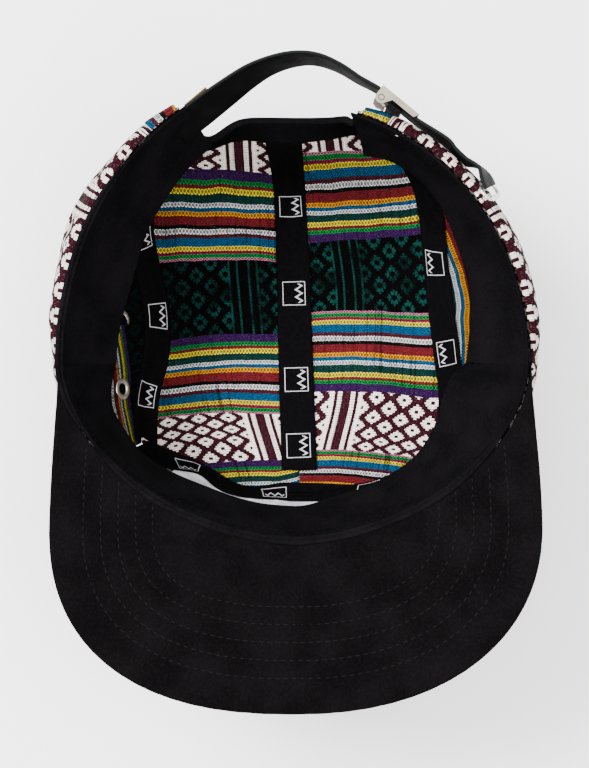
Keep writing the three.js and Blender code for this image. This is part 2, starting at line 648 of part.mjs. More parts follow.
// The frame that the lever turns on: a small bracket with the pin through its ears.
function buckleFrame() {
  const half = LEVER.innerHalfWidth - WALL.gap;
  const pinLength = 2 * LEVER.innerHalfWidth + 1.5 * LEVER.thickness;
  const pin = new THREE.CylinderGeometry(LEVER.pinRadius, LEVER.pinRadius, pinLength, 14);
  pin.rotateX(Math.PI / 2);
  const { earRadius, baseStart, baseEnd, baseDepth } = BRACKET;
  const ear = () => extruded([
    ...arc(earRadius, 0, 180), new THREE.Vector2(baseStart, -baseDepth),
    new THREE.Vector2(baseEnd, -baseDepth),
  ], LEVER.thickness);
  const base = new THREE.BoxGeometry(baseEnd - baseStart, LEVER.thickness, 2 * half);
  base.translate((baseStart + baseEnd) / 2, LEVER.thickness / 2 - baseDepth, 0);
  return joined([
    onPin(base, LEVER.middleZ), onPin(pin, LEVER.middleZ),
    onPin(ear(), LEVER.middleZ + half - LEVER.thickness), onPin(ear(), LEVER.middleZ - half),
  ]);
}

// The short leather end that ties the frame to the outside of the right panel.
function buckleTab() {
  const layer = (side) => TAB.rows.map((row) =>
    steps(2, -TAB.halfWidth, TAB.halfWidth).map((z) => leverPoint(row.s, row[side], LEVER.middleZ + z)));
  return slab(layer('low'), layer('high'));
}

// Turns a shape drawn about z so that its z looks out of a patch at a place on it.
function seated(geometry, patch, u, v, lift) {
  const normal = normalOf(patch, u, v);
  const up = V(0, 0, 1).addScaledVector(normal, -normal.z).normalize();
  const across = up.clone().cross(normal);
  const place = patch(u, v).addScaledVector(normal, lift);
  const matrix = new THREE.Matrix4().makeBasis(across, up, normal).setPosition(place);
  return geometry.applyMatrix4(matrix);
}

function eyeletRing() {
  const { bore, barrel, flange, stand, sheet } = EYELET;
  const [low, high] = [-stand, WALL.cloth + stand];
  const profile = [
    [bore, low - sheet], [flange - 0.5, low - sheet], [flange, low - sheet / 2], [flange, low],
    [barrel, low], [barrel, high], [flange, high], [flange, high + sheet / 2],
    [flange - 0.5, high + sheet], [bore, high + sheet], [bore, low - sheet],
  ].map(([radius, height]) => new THREE.Vector2(radius, height));
  return new THREE.LatheGeometry(profile, 12).rotateX(Math.PI / 2);
}

// An oval ring: straight sides and half round ends.
function ovalOutline(halfLength, halfWidth) {
  const straight = halfLength - halfWidth;
  const raised = (points, shift) => points.map((point) => point.add(new THREE.Vector2(0, shift)));
  return [...raised(arc(halfWidth, 0, 180), straight), ...raised(arc(halfWidth, 180, 360), -straight)];
}

function slotRing() {
  const { halfLength, halfWidth, bar, height, bevel } = SLOT_RING;
  const outline = new THREE.Shape(ovalOutline(halfLength, halfWidth));
  outline.holes = [new THREE.Path(ovalOutline(halfLength - bar, halfWidth - bar))];
  return new THREE.ExtrudeGeometry(outline, {
    depth: height - 2 * bevel, bevelEnabled: true, bevelSize: bevel, bevelOffset: -bevel,
    bevelThickness: bevel, bevelSegments: 1,
  });
}

const FINISH = {
  cloth: { color: 0x8a4a52, roughness: 0.92, metalness: 0 },
  backing: { color: 0xd8d8dc, roughness: 0.9, metalness: 0 },
  cotton: { color: 0x111013, roughness: 0.95, metalness: 0 },
  leather: { color: 0x17171a, roughness: 0.45, metalness: 0 },
  brownLeather: { color: 0x9a4f1f, roughness: 0.6, metalness: 0 },
  nickel: { color: 0xa8a098, roughness: 0.35, metalness: 1 },
};

const cap = new THREE.Group();

function add(name, geometry, finish) {
  geometry.deleteAttribute('uv');
  geometry.computeVertexNormals();
  const mesh = new THREE.Mesh(geometry, new THREE.MeshStandardMaterial(FINISH[finish]));
  mesh.name = name;
  cap.add(mesh);
}

function holeTools(side) {
  const patch = side < 0 ? PATCH.sideLeft : PATCH.sideRight;
  const drill = () => new THREE.CylinderGeometry(EYELET.hole, EYELET.hole, EYELET.drill, 14);
  return EYELETS.filter((eyelet) => eyelet.side === side).map((eyelet) =>
    seated(drill().rotateX(Math.PI / 2), patch, eyelet.along, eyelet.up, 0));
}

add('front_panel', panelBody(PATCH.front, 20, 8), 'cloth');
add('front_backing', frontBacking(16, 6), 'backing');
add('top_panel_left', panelBody(PATCH.topLeft, 12, 18), 'cloth');
add('top_panel_right', panelBody(PATCH.topRight, 12, 18), 'cloth');
add('side_panel_left', cut(panelBody(PATCH.sideLeft, 22, 9), holeTools(-1)), 'cloth');
add('side_panel_right', cut(panelBody(PATCH.sideRight, 22, 9), holeTools(1)), 'cloth');
add('center_tape', centreTape(22), 'cotton');
add('side_tape_left', sideTape(-1, 18), 'cotton');
add('side_tape_right', sideTape(1, 18), 'cotton');
add('front_tape', frontTape(18), 'cotton');
add('arch_binding', archBinding(), 'cotton');
add('sweatband', sweatband(56, 4), 'cotton');
add('brim', brim(36, 5), 'cotton');
add('strap', stripBody(strapStations(), WALL.strap), 'leather');
add('strap_tab', strapTab(), 'brownLeather');
add('buckle_tab', buckleTab(), 'leather');
add('buckle_frame', buckleFrame(), 'nickel');
add('buckle_lever', buckleLever(), 'nickel');
for (const eyelet of EYELETS) {
  const patch = eyelet.side < 0 ? PATCH.sideLeft : PATCH.sideRight;
  add(eyelet.name, seated(eyeletRing(), patch, eyelet.along, eyelet.up, 0), 'nickel');
}
const ringLift = WALL.cloth + WALL.gap + SLOT_RING.bevel;
add('tuck_grommet', seated(slotRing(), PATCH.sideRight, SLOT_RING.along, SLOT_RING.up, ringLift), 'nickel');

// Tip the cap so that the flat of its crown is level, and set it on the floor.
cap.rotation.x = radians(REST.tiltDegrees);
cap.position.set(...REST.shift);
const group = new THREE.Group();
group.add(cap);
export default group;
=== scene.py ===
# %% [markdown]
# A camp cap lies upside down on its crown, and the camera looks into it from above.
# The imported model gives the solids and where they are. Everything soft is made again
# here with the detail that the solids leave out: the handwoven cloth with its bands,
# the tapes over the seams, the twill sweatband, the quilted brim and the leather strap.

# %% The frame
import math

import bpy
import numpy as np
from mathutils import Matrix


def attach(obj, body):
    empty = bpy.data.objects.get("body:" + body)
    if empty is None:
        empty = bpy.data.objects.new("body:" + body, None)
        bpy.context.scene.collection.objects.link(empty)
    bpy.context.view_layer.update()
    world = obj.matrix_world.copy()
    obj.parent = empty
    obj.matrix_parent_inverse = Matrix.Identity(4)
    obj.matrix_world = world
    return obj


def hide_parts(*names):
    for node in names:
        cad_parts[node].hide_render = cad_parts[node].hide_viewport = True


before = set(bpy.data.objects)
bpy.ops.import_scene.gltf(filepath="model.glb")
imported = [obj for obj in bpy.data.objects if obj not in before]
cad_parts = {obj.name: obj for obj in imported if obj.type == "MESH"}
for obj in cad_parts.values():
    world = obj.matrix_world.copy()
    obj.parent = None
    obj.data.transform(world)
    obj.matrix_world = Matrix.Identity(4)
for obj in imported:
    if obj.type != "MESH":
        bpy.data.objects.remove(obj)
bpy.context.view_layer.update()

# %% [markdown]
# The cap is easiest to describe in its own frame: x to the right, y to the back and
# z out of the opening, in millimetres, with the rim near z = 0. It lies tipped by
# a few degrees, because its crown settles on its flat top, so one turn and one shift
# take every point to the shared frame in metres.

# %% The cap's own frame
TILT = math.radians(12)
SHIFT = np.array([-0.381, 0.499, 97.1814])
TURN = np.array([[1, 0, 0], [0, math.cos(TILT), -math.sin(TILT)], [0, math.sin(TILT), math.cos(TILT)]])
MIDDLE = np.array([0.0, 20.0, -45.0])


def to_shared(points):
    """Cap millimetres to shared metres: turned about x by the tilt, then shifted."""
    return (np.asarray(points, float) @ TURN.T + SHIFT) / 1000


# %% [markdown]
# The camera comes first. The photograph looks straight into the opening, so the camera
# stands on the axis of the rim and turns with the cap's own tilt. One millimetre at the
# rim is 2.6 of the photo's pixels, from nine hundred millimetres away.

# %% Camera
PHOTO_WIDTH, PHOTO_HEIGHT = 589, 768
CAMERA_DISTANCE = 900.0
PIXELS_PER_MM = 2.6
SENSOR = 36.0

camera_data = bpy.data.cameras.new("photo_camera")
camera_data.sensor_width = SENSOR
camera_data.lens = CAMERA_DISTANCE * PIXELS_PER_MM * SENSOR / PHOTO_HEIGHT
camera = bpy.data.objects.new("photo_camera", camera_data)
camera.location = to_shared([0, 0, CAMERA_DISTANCE])
camera.rotation_euler = (TILT, 0, 0)
bpy.context.scene.collection.objects.link(camera)
bpy.context.scene.camera = camera
print("camera at", [round(c, 3) for c in camera.location], "lens", round(camera_data.lens, 1))

# %% [markdown]
# Curves through a few chosen places are Catmull-Rom splines: between two places b and c
# the curve leaves b in the direction from a to c, so it is smooth and passes through all.


# %% Curves and small functions
def smooth(value):
    """0 below 0, 1 above 1, and an even S between: three squares less two cubes."""
    value = np.clip(value, 0, 1)
    return value * value * (3 - 2 * value)


def spline(rows, share):
    """Points through evenly spaced rows, as a Catmull-Rom spline of the share 0 to 1."""
    rows = np.asarray(rows, float)
    share = np.asarray(share, float)
    place = np.clip(share, 0, 1) * (len(rows) - 1)
    index = np.minimum(place.astype(int), len(rows) - 2)
    t = place - index
    padded = np.concatenate([2 * rows[:1] - rows[1:2], rows, 2 * rows[-1:] - rows[-2:-1]])
    a, b, c, d = (padded[index + step] for step in range(4))
    if rows.ndim > 1:
        t = t[..., None]
    return b + 0.5 * t * (c - a + t * (2 * a - 5 * b + 4 * c - d + t * (3 * (b - c) + d - a)))


def unit(vectors):
    """Each vector divided by its length."""
    length = np.linalg.norm(vectors, axis=-1, keepdims=True)
    return vectors / np.maximum(length, 1e-9)


def waves(x, y, scale, seed, count=9):
    """Soft random folds from -1 to 1: a sum of cosines in seeded directions and lengths."""
    random = np.random.default_rng(seed)
    total = np.zeros(np.broadcast(x, y).shape)
    for angle, stretch, phase in zip(random.uniform(0, math.pi, count),
                                     random.uniform(0.6, 1.7, count), random.uniform(0, 6.3, count)):
        along = x * math.cos(angle) + y * math.sin(angle)
        total += np.cos(along * 2 * math.pi / (scale * stretch) + phase)
    return total / (0.75 * count ** 0.5 * 2)


# %% [markdown]
# The opening is nearly an ellipse, a little more pointed towards the brim. The brim is
# a flat board that is bent once, so its height is a plane plus a term in x squared, and
# the rim follows it in front.

# %% The rim and the brim's plane
RIM = dict(half_width=91, front=68, back_left=112, back_right=100, centre_y=8, power=1.8)
FRONT_CORNER, BRIM_CORNER, LEFT_END, RIGHT_END = 60, 96, 151.1, 164.7
ARCH = dict(centre=-10, half_width=34, height=42, power=2.8, seam_angle=28.9)
# The two half widths, the two powers and the reach are a scratch program's fit to the
# photo's brim, rounded.
BRIM = dict(left=(92.5, 2.4), right=(93.5, 2.2), side_end=-50, reach=72.6, thickness=3,
            seam_height=8, slope=0.344, lift=0.00158, corner_y=-6)
FLOOR_HEIGHT, FLOOR_START = -90, -44


def brim_height(x, y):
    """The bent plane: a slope along y and a lift with the square of x."""
    return BRIM["seam_height"] + BRIM["slope"] * (-y - 60) + BRIM["lift"] * x * x


def rim_point(angle):
    """A half superellipse in front and two quarter ellipses behind, by angle in degrees."""
    turn = np.radians(np.asarray(angle, float))
    sine, cosine = np.sin(turn), np.cos(turn)
    exponent = 2 / RIM["power"]
    back = np.where(turn < 0, RIM["back_left"], RIM["back_right"])
    front_x = np.sign(sine) * np.abs(sine) ** exponent
    front_y = RIM["front"] * np.abs(cosine) ** exponent
    x = RIM["half_width"] * np.where(cosine < 0, sine, front_x)
    y = RIM["centre_y"] - np.where(cosine < 0, back * cosine, front_y)
    z = np.where(cosine < 0, 0, brim_height(x, y) * smooth(-y / 12))
    return np.stack([x, y, z], -1)


def rim_outward(angle):
    """The level direction out of the rim: its tangent turned by a right angle."""
    along = rim_point(np.asarray(angle) + 0.5) - rim_point(np.asarray(angle) - 0.5)
    return unit(np.stack([along[..., 1], -along[..., 0], 0 * along[..., 0]], -1))


def panel_rim(angle):
    """The panels' lower edge, which dips below the brim where there is one."""
    below = 0.4 + (BRIM["thickness"] - 0.3) * smooth((BRIM_CORNER + 5 - np.abs(angle)) / 5)
    return rim_point(angle) - np.stack([0 * below, 0 * below, below], -1)


def arch_point(angle):
    """The cut-out's edge, an upright superellipse from the rim's left end to its right."""
    turn = np.radians(np.asarray(angle, float))
    sine, cosine = np.sin(turn), np.cos(turn)
    exponent = 2 / ARCH["power"]
    left, right = panel_rim(np.array(-LEFT_END))[1], panel_rim(np.array(RIGHT_END))[1]
    x = ARCH["centre"] - ARCH["half_width"] * np.sign(cosine) * np.abs(cosine) ** exponent
    z = -0.4 - (ARCH["height"] - 0.4) * np.abs(sine) ** exponent
    dent = 9 * np.exp(-(((x + 36.5) / 8) ** 2)) + 9 * np.exp(-(((x - 28) / 4.5) ** 2))
    y = left + (right - left) * (1 - cosine) / 2 - dent * smooth(-z / 20)
    return np.stack([x, y, z], -1)


print("opening", np.round(np.ptp(rim_point(np.linspace(-180, 180, 721)), axis=0), 1), "mm")

# %% [markdown]
# A camp cap is sewn from five panels: one in front, two at the sides and two on top.
# What gives the crown its form is where the seams run, so the seams are drawn first,
# and each panel is then a patch between its four edges that swells a little.

# %% Seams
SIDE_SEAM = {
    -1: [(-64, -25, -82), (-63.5, -4, -86), (-59, 14, -89), (-58.3, 31, -91),
         (-62, 49, -90), (-65, 66, -84), (-62, 83, -68), (-53, 97, -46)],
    1: [(64, -25, -82), (67, -4, -86), (65, 14, -88), (62, 32, -88),
        (59.5, 50, -86), (57.5, 68, -79), (53, 84, -65), (41, 97.5, -46)],
}
CENTRE_SEAM = [(-46, -89.5), (-30, -93), (-8, -97.7), (15, -102.5), (40, -107.9),
               (60, -109.5), (76, -105), (86.5, -94), (91.5, -79), (94.5, -65), (98.5, -52)]
CENTRE_DRIFT = (2.5, -5)
FRONT_SEAM = dict(half_width=64, middle_y=-46, rise=21, middle_z=-89.5, corner_z=7.5)
BULGE = dict(side=18, side_seam=7, front=6, top=10)
PRESSED = dict(start=0.64, over=0.1, stand=3.8, free=40)


def side_seam(side, share):
    """The seam between a side panel and a top panel, from the front corner to the arch."""
    end = arch_point(ARCH["seam_angle"] if side < 0 else 180 - ARCH["seam_angle"])
    return spline([*SIDE_SEAM[side], end], share)


def centre_seam(share):
    """The seam between the top panels, drifting to the left on its way back."""
    share = np.asarray(share, float)
    top = arch_point(90)
    height = spline([*CENTRE_SEAM, (top[1], top[2])], share)
    x = CENTRE_DRIFT[0] + (CENTRE_DRIFT[1] - CENTRE_DRIFT[0]) * share
    return np.concatenate([x[..., None], height], -1)


def front_seam(across):
    """The seam over the front panel, from its left corner at -1 to its right one at 1."""
    across = np.asarray(across, float)
    bend = np.abs(across) ** 2.2
    x = FRONT_SEAM["half_width"] * across + CENTRE_DRIFT[0] * (1 - across ** 2)
    y = FRONT_SEAM["middle_y"] + FRONT_SEAM["rise"] * bend
    return np.stack([x, y, FRONT_SEAM["middle_z"] + FRONT_SEAM["corner_z"] * bend], -1)


def upright_seam(side, share):
    """The seam between the front panel and a side panel, a bowed line up from the rim."""
    share = np.asarray(share, float)
    low, high = panel_rim(side * FRONT_CORNER), side_seam(side, 0)
    bow = BULGE["side_seam"] * 4 * share * (1 - share)
    return low + (high - low) * share[..., None] + rim_outward(side * FRONT_CORNER) * bow[..., None]


# %% [markdown]
# A Coons patch fills four edge curves: it adds the blend between the low and the high
# edge to the blend between the first and the last one, and takes away the blend of the
# four corners, which both count. The swelling between the seams is added on top.


# %% Panels as patches
def coons(low, high, first, last, stand):
    """A surface of u and v that meets four edge curves and stands out between them."""
    corners = [low(np.array(0.0)), low(np.array(1.0)), high(np.array(0.0)), high(np.array(1.0))]

    def patch(u, v):
        """Both pairs of edges blended, less the corners counted twice, plus the bulge."""
        u, v = np.broadcast_arrays(np.asarray(u, float), np.asarray(v, float))
        s, t = u[..., None], v[..., None]
        across = low(u) * (1 - t) + high(u) * t + first(v) * (1 - s) + last(v) * s
        corner = (corners[0] * (1 - s) + corners[1] * s) * (1 - t)
        corner = corner + (corners[2] * (1 - s) + corners[3] * s) * t
        return across - corner + stand(u, v)

    return patch


def patch_normal(patch, u, v):
    """The outward normal, from differences of the patch along u and along v."""
    step = 2e-3
    u, v = np.broadcast_arrays(np.asarray(u, float), np.asarray(v, float))
    along_u = patch(np.minimum(u + step, 1), v) - patch(np.maximum(u - step, 0), v)
    along_v = patch(u, np.minimum(v + step, 1)) - patch(u, np.maximum(v - step, 0))
    normal = unit(np.cross(along_u, along_v))
    inward = np.sum(normal * (patch(u, v) - MIDDLE), -1, keepdims=True) < 0
    return np.where(inward, -normal, normal)


def on_floor(points):
    """Cloth that would sink below the floor is flattened on it, with a short round."""
    floor = FLOOR_HEIGHT - math.tan(TILT) * (points[..., 1] - FLOOR_START) + 1.2 / math.cos(TILT)
    over = points[..., 2] - floor
    height = floor + 0.5 * (over + np.sqrt(over * over + 0.1))
    return np.concatenate([points[..., :2], height[..., None]], -1)


def side_panel(side):
    """A side panel: u from the front to the back, v from the rim to the side seam.

    On the right the strap's end presses the cloth in, so its stand there has a limit.
    """
    end = LEFT_END if side < 0 else RIGHT_END
    seam_angle = ARCH["seam_angle"] if side < 0 else 180 - ARCH["seam_angle"]
    start_angle = 0 if side < 0 else 180

    def angle_at(u):
        return side * (FRONT_CORNER + (end - FRONT_CORNER) * np.asarray(u, float))

    def stand(u, v):
        """The bulge outwards: a sine of u times a parabola of v, so none at the edges."""
        size = (BULGE["side"] - (1 - u) * BULGE["side_seam"]) * np.sin(math.pi * u ** 0.85)
        size = size * 4 * v * (1 - v)
        if side > 0:
            share = smooth((u - PRESSED["start"]) / PRESSED["over"])
            limit = PRESSED["free"] + (PRESSED["stand"] - PRESSED["free"]) * share
            size = size / (1 + (size / limit) ** 4) ** 0.25
        return rim_outward(angle_at(u)) * size[..., None]

    return coons(lambda u: panel_rim(angle_at(u)), lambda u: side_seam(side, u),
                 lambda v: upright_seam(side, v),
                 lambda v: arch_point(start_angle + (seam_angle - start_angle) * np.asarray(v)), stand)


def top_panel(side):
    """A top panel: u from the centre seam to the side seam, v from front to back."""
    end = ARCH["seam_angle"] if side < 0 else 180 - ARCH["seam_angle"]

    def stand(u, v):
        """The bulge downwards: a parabola of u times a sine of v, so none at the edges."""
        down = -BULGE["top"] * 4 * u * (1 - u) * np.sin(math.pi * v)
        return np.stack([0 * down, 0 * down, down], -1)

    patch = coons(lambda u: front_seam(side * np.asarray(u)),
                  lambda u: arch_point(90 + (end - 90) * np.asarray(u)),
                  centre_seam, lambda v: side_seam(side, v), stand)
    return lambda u, v: on_floor(patch(u, v))


def front_panel():
    """The front panel: u from left to right, v from the rim to the front seam."""

    def stand(u, v):
        """The bulge forwards: a sine of u times a parabola of v, so none at the edges."""
        out = -BULGE["front"] * np.sin(math.pi * u) * 4 * v * (1 - v)
        return np.stack([0 * out, out, 0 * out], -1)

    patch = coons(lambda u: panel_rim(FRONT_CORNER * (2 * np.asarray(u) - 1)),
                  lambda u: front_seam(2 * np.asarray(u) - 1),
                  lambda v: upright_seam(-1, v), lambda v: upright_seam(1, v), stand)
    return lambda u, v: on_floor(patch(u, v))


PATCH = {"front": front_panel(), "top_left": top_panel(-1), "top_right": top_panel(1),
         "side_left": side_panel(-1), "side_right": side_panel(1)}

# %% [markdown]
# Shader maths reads best as plain expressions. This small class wraps one socket of a
# node tree, so that adding, multiplying or comparing two of them adds the Math node.
# Its node method makes any other node from a type, its settings and its inputs.


# %% Shader expressions
class Value:
    """One socket of a material, with arithmetic that adds Math nodes."""

    def __init__(self, tree, socket=None):
        self.tree, self.socket = tree, socket

    def node(self, kind, settings=(), inputs=(), output=0):
        """Adds a node, sets its settings and then its inputs, and returns one output."""
        made = self.tree.nodes.new(kind)
        for key, value in dict(settings).items():
            if key == "stops":
                ramp = made.color_ramp
                for place, colour in value[1:-1]:
                    ramp.elements.new(place)
                for element, (place, colour) in zip(ramp.elements, value):
                    element.position, element.color = place, (*colour, 1)
            elif key == "interpolation":
                made.color_ramp.interpolation = value
            else:
                setattr(made, key, value)
        for key, value in dict(inputs).items():
            self.put(made.inputs[key], value)
        return Value(self.tree, made.outputs[output])

    def put(self, socket, value):
        """Links a value to a socket, or sets the socket's own number or colour."""
        if isinstance(value, Value):
            self.tree.links.new(value.socket, socket)
        elif isinstance(value, tuple) and len(value) == 3 and socket.type == "RGBA":
            socket.default_value = (*value, 1)
        else:
            socket.default_value = value

    def math(self, operation, *values, clamp=False):
        return self.node("ShaderNodeMath", {"operation": operation, "use_clamp": clamp},
                         dict(enumerate(values)))

    def __add__(self, other): return self.math("ADD", self, other)
    def __radd__(self, other): return self.math("ADD", other, self)
    def __sub__(self, other): return self.math("SUBTRACT", self, other)
    def __rsub__(self, other): return self.math("SUBTRACT", other, self)
    def __mul__(self, other): return self.math("MULTIPLY", self, other)
    def __rmul__(self, other): return self.math("MULTIPLY", other, self)
    def __truediv__(self, other): return self.math("DIVIDE", self, other)
    def __lt__(self, other): return self.math("LESS_THAN", self, other)
    def __gt__(self, other): return self.math("GREATER_THAN", self, other)
    def __abs__(self): return self.math("ABSOLUTE", self)
    def fraction(self): return self.math("FRACT", self)
    def sine(self): return self.math("SINE", self)
    def least(self, other): return self.math("MINIMUM", self, other)
    def most(self, other): return self.math("MAXIMUM", self, other)

    def steps_up(self, low, high):
        """A smooth rise from 0 at low to 1 at high."""
        return self.node("ShaderNodeMapRange", {"interpolation_type": "SMOOTHSTEP"},
                         {"Value": self, "From Min": low, "From Max": high})

    def colour(self, first, second):
        """The first colour where this mask is 0, and the second where it is 1."""
        return self.node("ShaderNodeMix", {"data_type": "RGBA"}, {0: self, 6: first, 7: second}, 2)

    def shade(self, colour, amount):
        """A colour darkened where this mask is 1, to its share 1 - amount."""
        factor = 1 - self * amount
        return self.node("ShaderNodeVectorMath", {"operation": "SCALE"}, {0: colour, "Scale": factor})

    def noise(self, vector, scale, detail=2.0):
        return self.node("ShaderNodeTexNoise", {}, {"Vector": vector, "Scale": scale, "Detail": detail})


def start_material(name):
    """A new material, its tree wrapped for expressions, and its surface shader."""
    material = bpy.data.materials.new(name)
    material.use_nodes = True
    shader = material.node_tree.nodes["Principled BSDF"]
    return material, Value(material.node_tree), shader


def finish_material(tree, shader, colour, height=None, distance=0.0003, **sockets):
    """Puts the colour, the bump and the other sockets into the surface shader."""
    tree.put(shader.inputs["Base Color"], colour)
    for name, value in sockets.items():
        tree.put(shader.inputs[name.replace("_", " ")], value)
    if height is not None:
        bump = tree.node("ShaderNodeBump", {}, {"Strength": 1.0, "Distance": distance, "Height": height})
        tree.put(shader.inputs["Normal"], bump)


def mapped(tree, name):
    """The two coordinates that a piece carries for its cloth, in millimetres."""
    vector = tree.node("ShaderNodeAttribute", {"attribute_name": name}, output="Vector")
    parts = tree.node("ShaderNodeSeparateXYZ", {}, {0: vector})
    along = Value(tree.tree, parts.socket.node.outputs[0])
    across = Value(tree.tree, parts.socket.node.outputs[1])
    return vector, along, across


# %% [markdown]
# The cloth is the showpiece. It is handwoven in bands: seventeen stripes, a band of
# small lattice flowers in green on black, the same stripes again, and a band of lattice
# flowers in cream on maroon. Each vertex carries its place on the cloth before it was
# cut, along the weft and along the warp, so the pattern follows every fold. Several
# stripes are drawn as little chains, which is what a twisted pair of yarns looks like.

# %% Woven cloth
def srgb(code):
    """A colour as six hexadecimal digits to linear light."""
    parts = [int(code[i:i + 2], 16) / 255 for i in (0, 2, 4)]
    return tuple(p / 12.92 if p <= 0.04045 else ((p + 0.055) / 1.055) ** 2.4 for p in parts)


STRIPES = [
    ("35144a", 3.5, 0), ("00903f", 1.7, 1), ("701d24", 1.4, 0), ("f8e02c", 2.2, 1),
    ("0a3430", 3.3, 0), ("f2f2f2", 1.95, 1), ("055078", 1.55, 0), ("f0a000", 2.05, 1),
    ("701d24", 3.9, 0), ("0a0a0c", 1.5, 0), ("f2f2f2", 2.4, 1), ("4a1a26", 1.65, 0),
    ("055078", 3.6, 0), ("f8e02c", 2.05, 1), ("7c143c", 1.35, 0), ("00903f", 1.6, 1),
    ("d878a0", 1.15, 1),
]
STRIPE_BAND, FLOWER_BAND = 37.0, 30.0
REPEAT = 2 * (STRIPE_BAND + FLOWER_BAND)
CELL_ACROSS, CELL_ALONG, CELL_EXTRA = 11.9, 8.3, 1.0
RIB_REPEAT, HALF_FLOWER_AT = 84.0, 7.1
CHAIN_PITCH = 1.3
MAROON, CREAM, BLACK, GREEN = srgb("300c17"), srgb("fdf4ea"), srgb("020203"), srgb("063a34")
stripe_ends = np.cumsum([width for _, width, _ in STRIPES])
stripe_ends = stripe_ends / stripe_ends[-1]
stripe_starts = np.concatenate([[0], stripe_ends[:-1]])
print("stripes", len(STRIPES), "repeat", REPEAT, "mm")


def chain_stops():
    """Ramp stops that rise to 1 in the middle of each chained stripe and fall to 0."""
    stops = [(0.0, (0, 0, 0))]
    for (_, _, chained), low, high in zip(STRIPES, stripe_starts, stripe_ends):
        if chained:
            stops += [(low + 1e-4, (0, 0, 0)), ((low + high) / 2, (1, 1, 1)), (high - 1e-4, (0, 0, 0))]
    return [*stops, (1.0, (0, 0, 0))]


# Half widths of one flower in millimetres, row by row from its middle to its tip.
FLOWER_ROWS = [(0.0, 3.3), (0.5, 2.7), (1.5, 1.7), (2.5, 0.5), (3.3, -1.0)]


def flowers(tree, vector, size, in_band, is_green):
    """The masks of whole flowers, of flowers drawn as rings, and of the gaps between rows.

    Two slanting fractions give each point's place in its own diamond cell. A stepped
    ramp then gives the flower's half width in that row, narrower between two rows.
    """
    x = (size - HALF_FLOWER_AT) / CELL_ACROSS
    y = (in_band - 7.2 + is_green * 1.1) / (is_green * CELL_EXTRA + CELL_ALONG)
    first, second = (x + y + 20.5).fraction() - 0.5, (x - y + 20.5).fraction() - 0.5
    across = abs(first + second) * (CELL_ACROSS / 2)
    along = abs(first - second) * (CELL_ALONG / 2 + 0.3)
    rows = [(place / 4, ((w + 1) / 5,) * 3) for place, w in FLOWER_ROWS]
    half = tree.node("ShaderNodeValToRGB", {"interpolation": "CONSTANT", "stops": rows}, {0: along / 4})
    half = tree.node("ShaderNodeRGBToBW", {}, {0: half}) * 5 - 1
    gap = abs((along + 0.5).fraction() - 0.5).steps_up(0.3, 0.5)
    uneven = (tree.noise(vector, 1.3, 1.0) - 0.5) * 1.0
    body = across < half + uneven * (is_green + 0.5) - gap * 1.0
    whole = body * (1 - (across < 0.8) * (along < 0.7))
    notch = abs(across - along * 1.05 - 0.35) < 0.26
    ring = (across < half * 0.9 + uneven * 1.3 - gap * 0.5) * (across / 1.5 + along / 1.4 > 1.0) * (1 - notch)
    return whole, ring, gap


# Each vent eyelet: its node, its panel, and its place round and up the panel.
# The eyelets' holes are painted black on the cloth as painted shade inside their bores, this far from their
# middles, in metres.
HOLE_SHADE_RADIUS = 0.0024
EYELETS = [("eyelet_left_front", "side_left", 0.17, 0.85), ("eyelet_left_back", "side_left", 0.37, 0.84),
           ("eyelet_right_front", "side_right", 0.27, 0.84), ("eyelet_right_back", "side_right", 0.5, 0.82)]


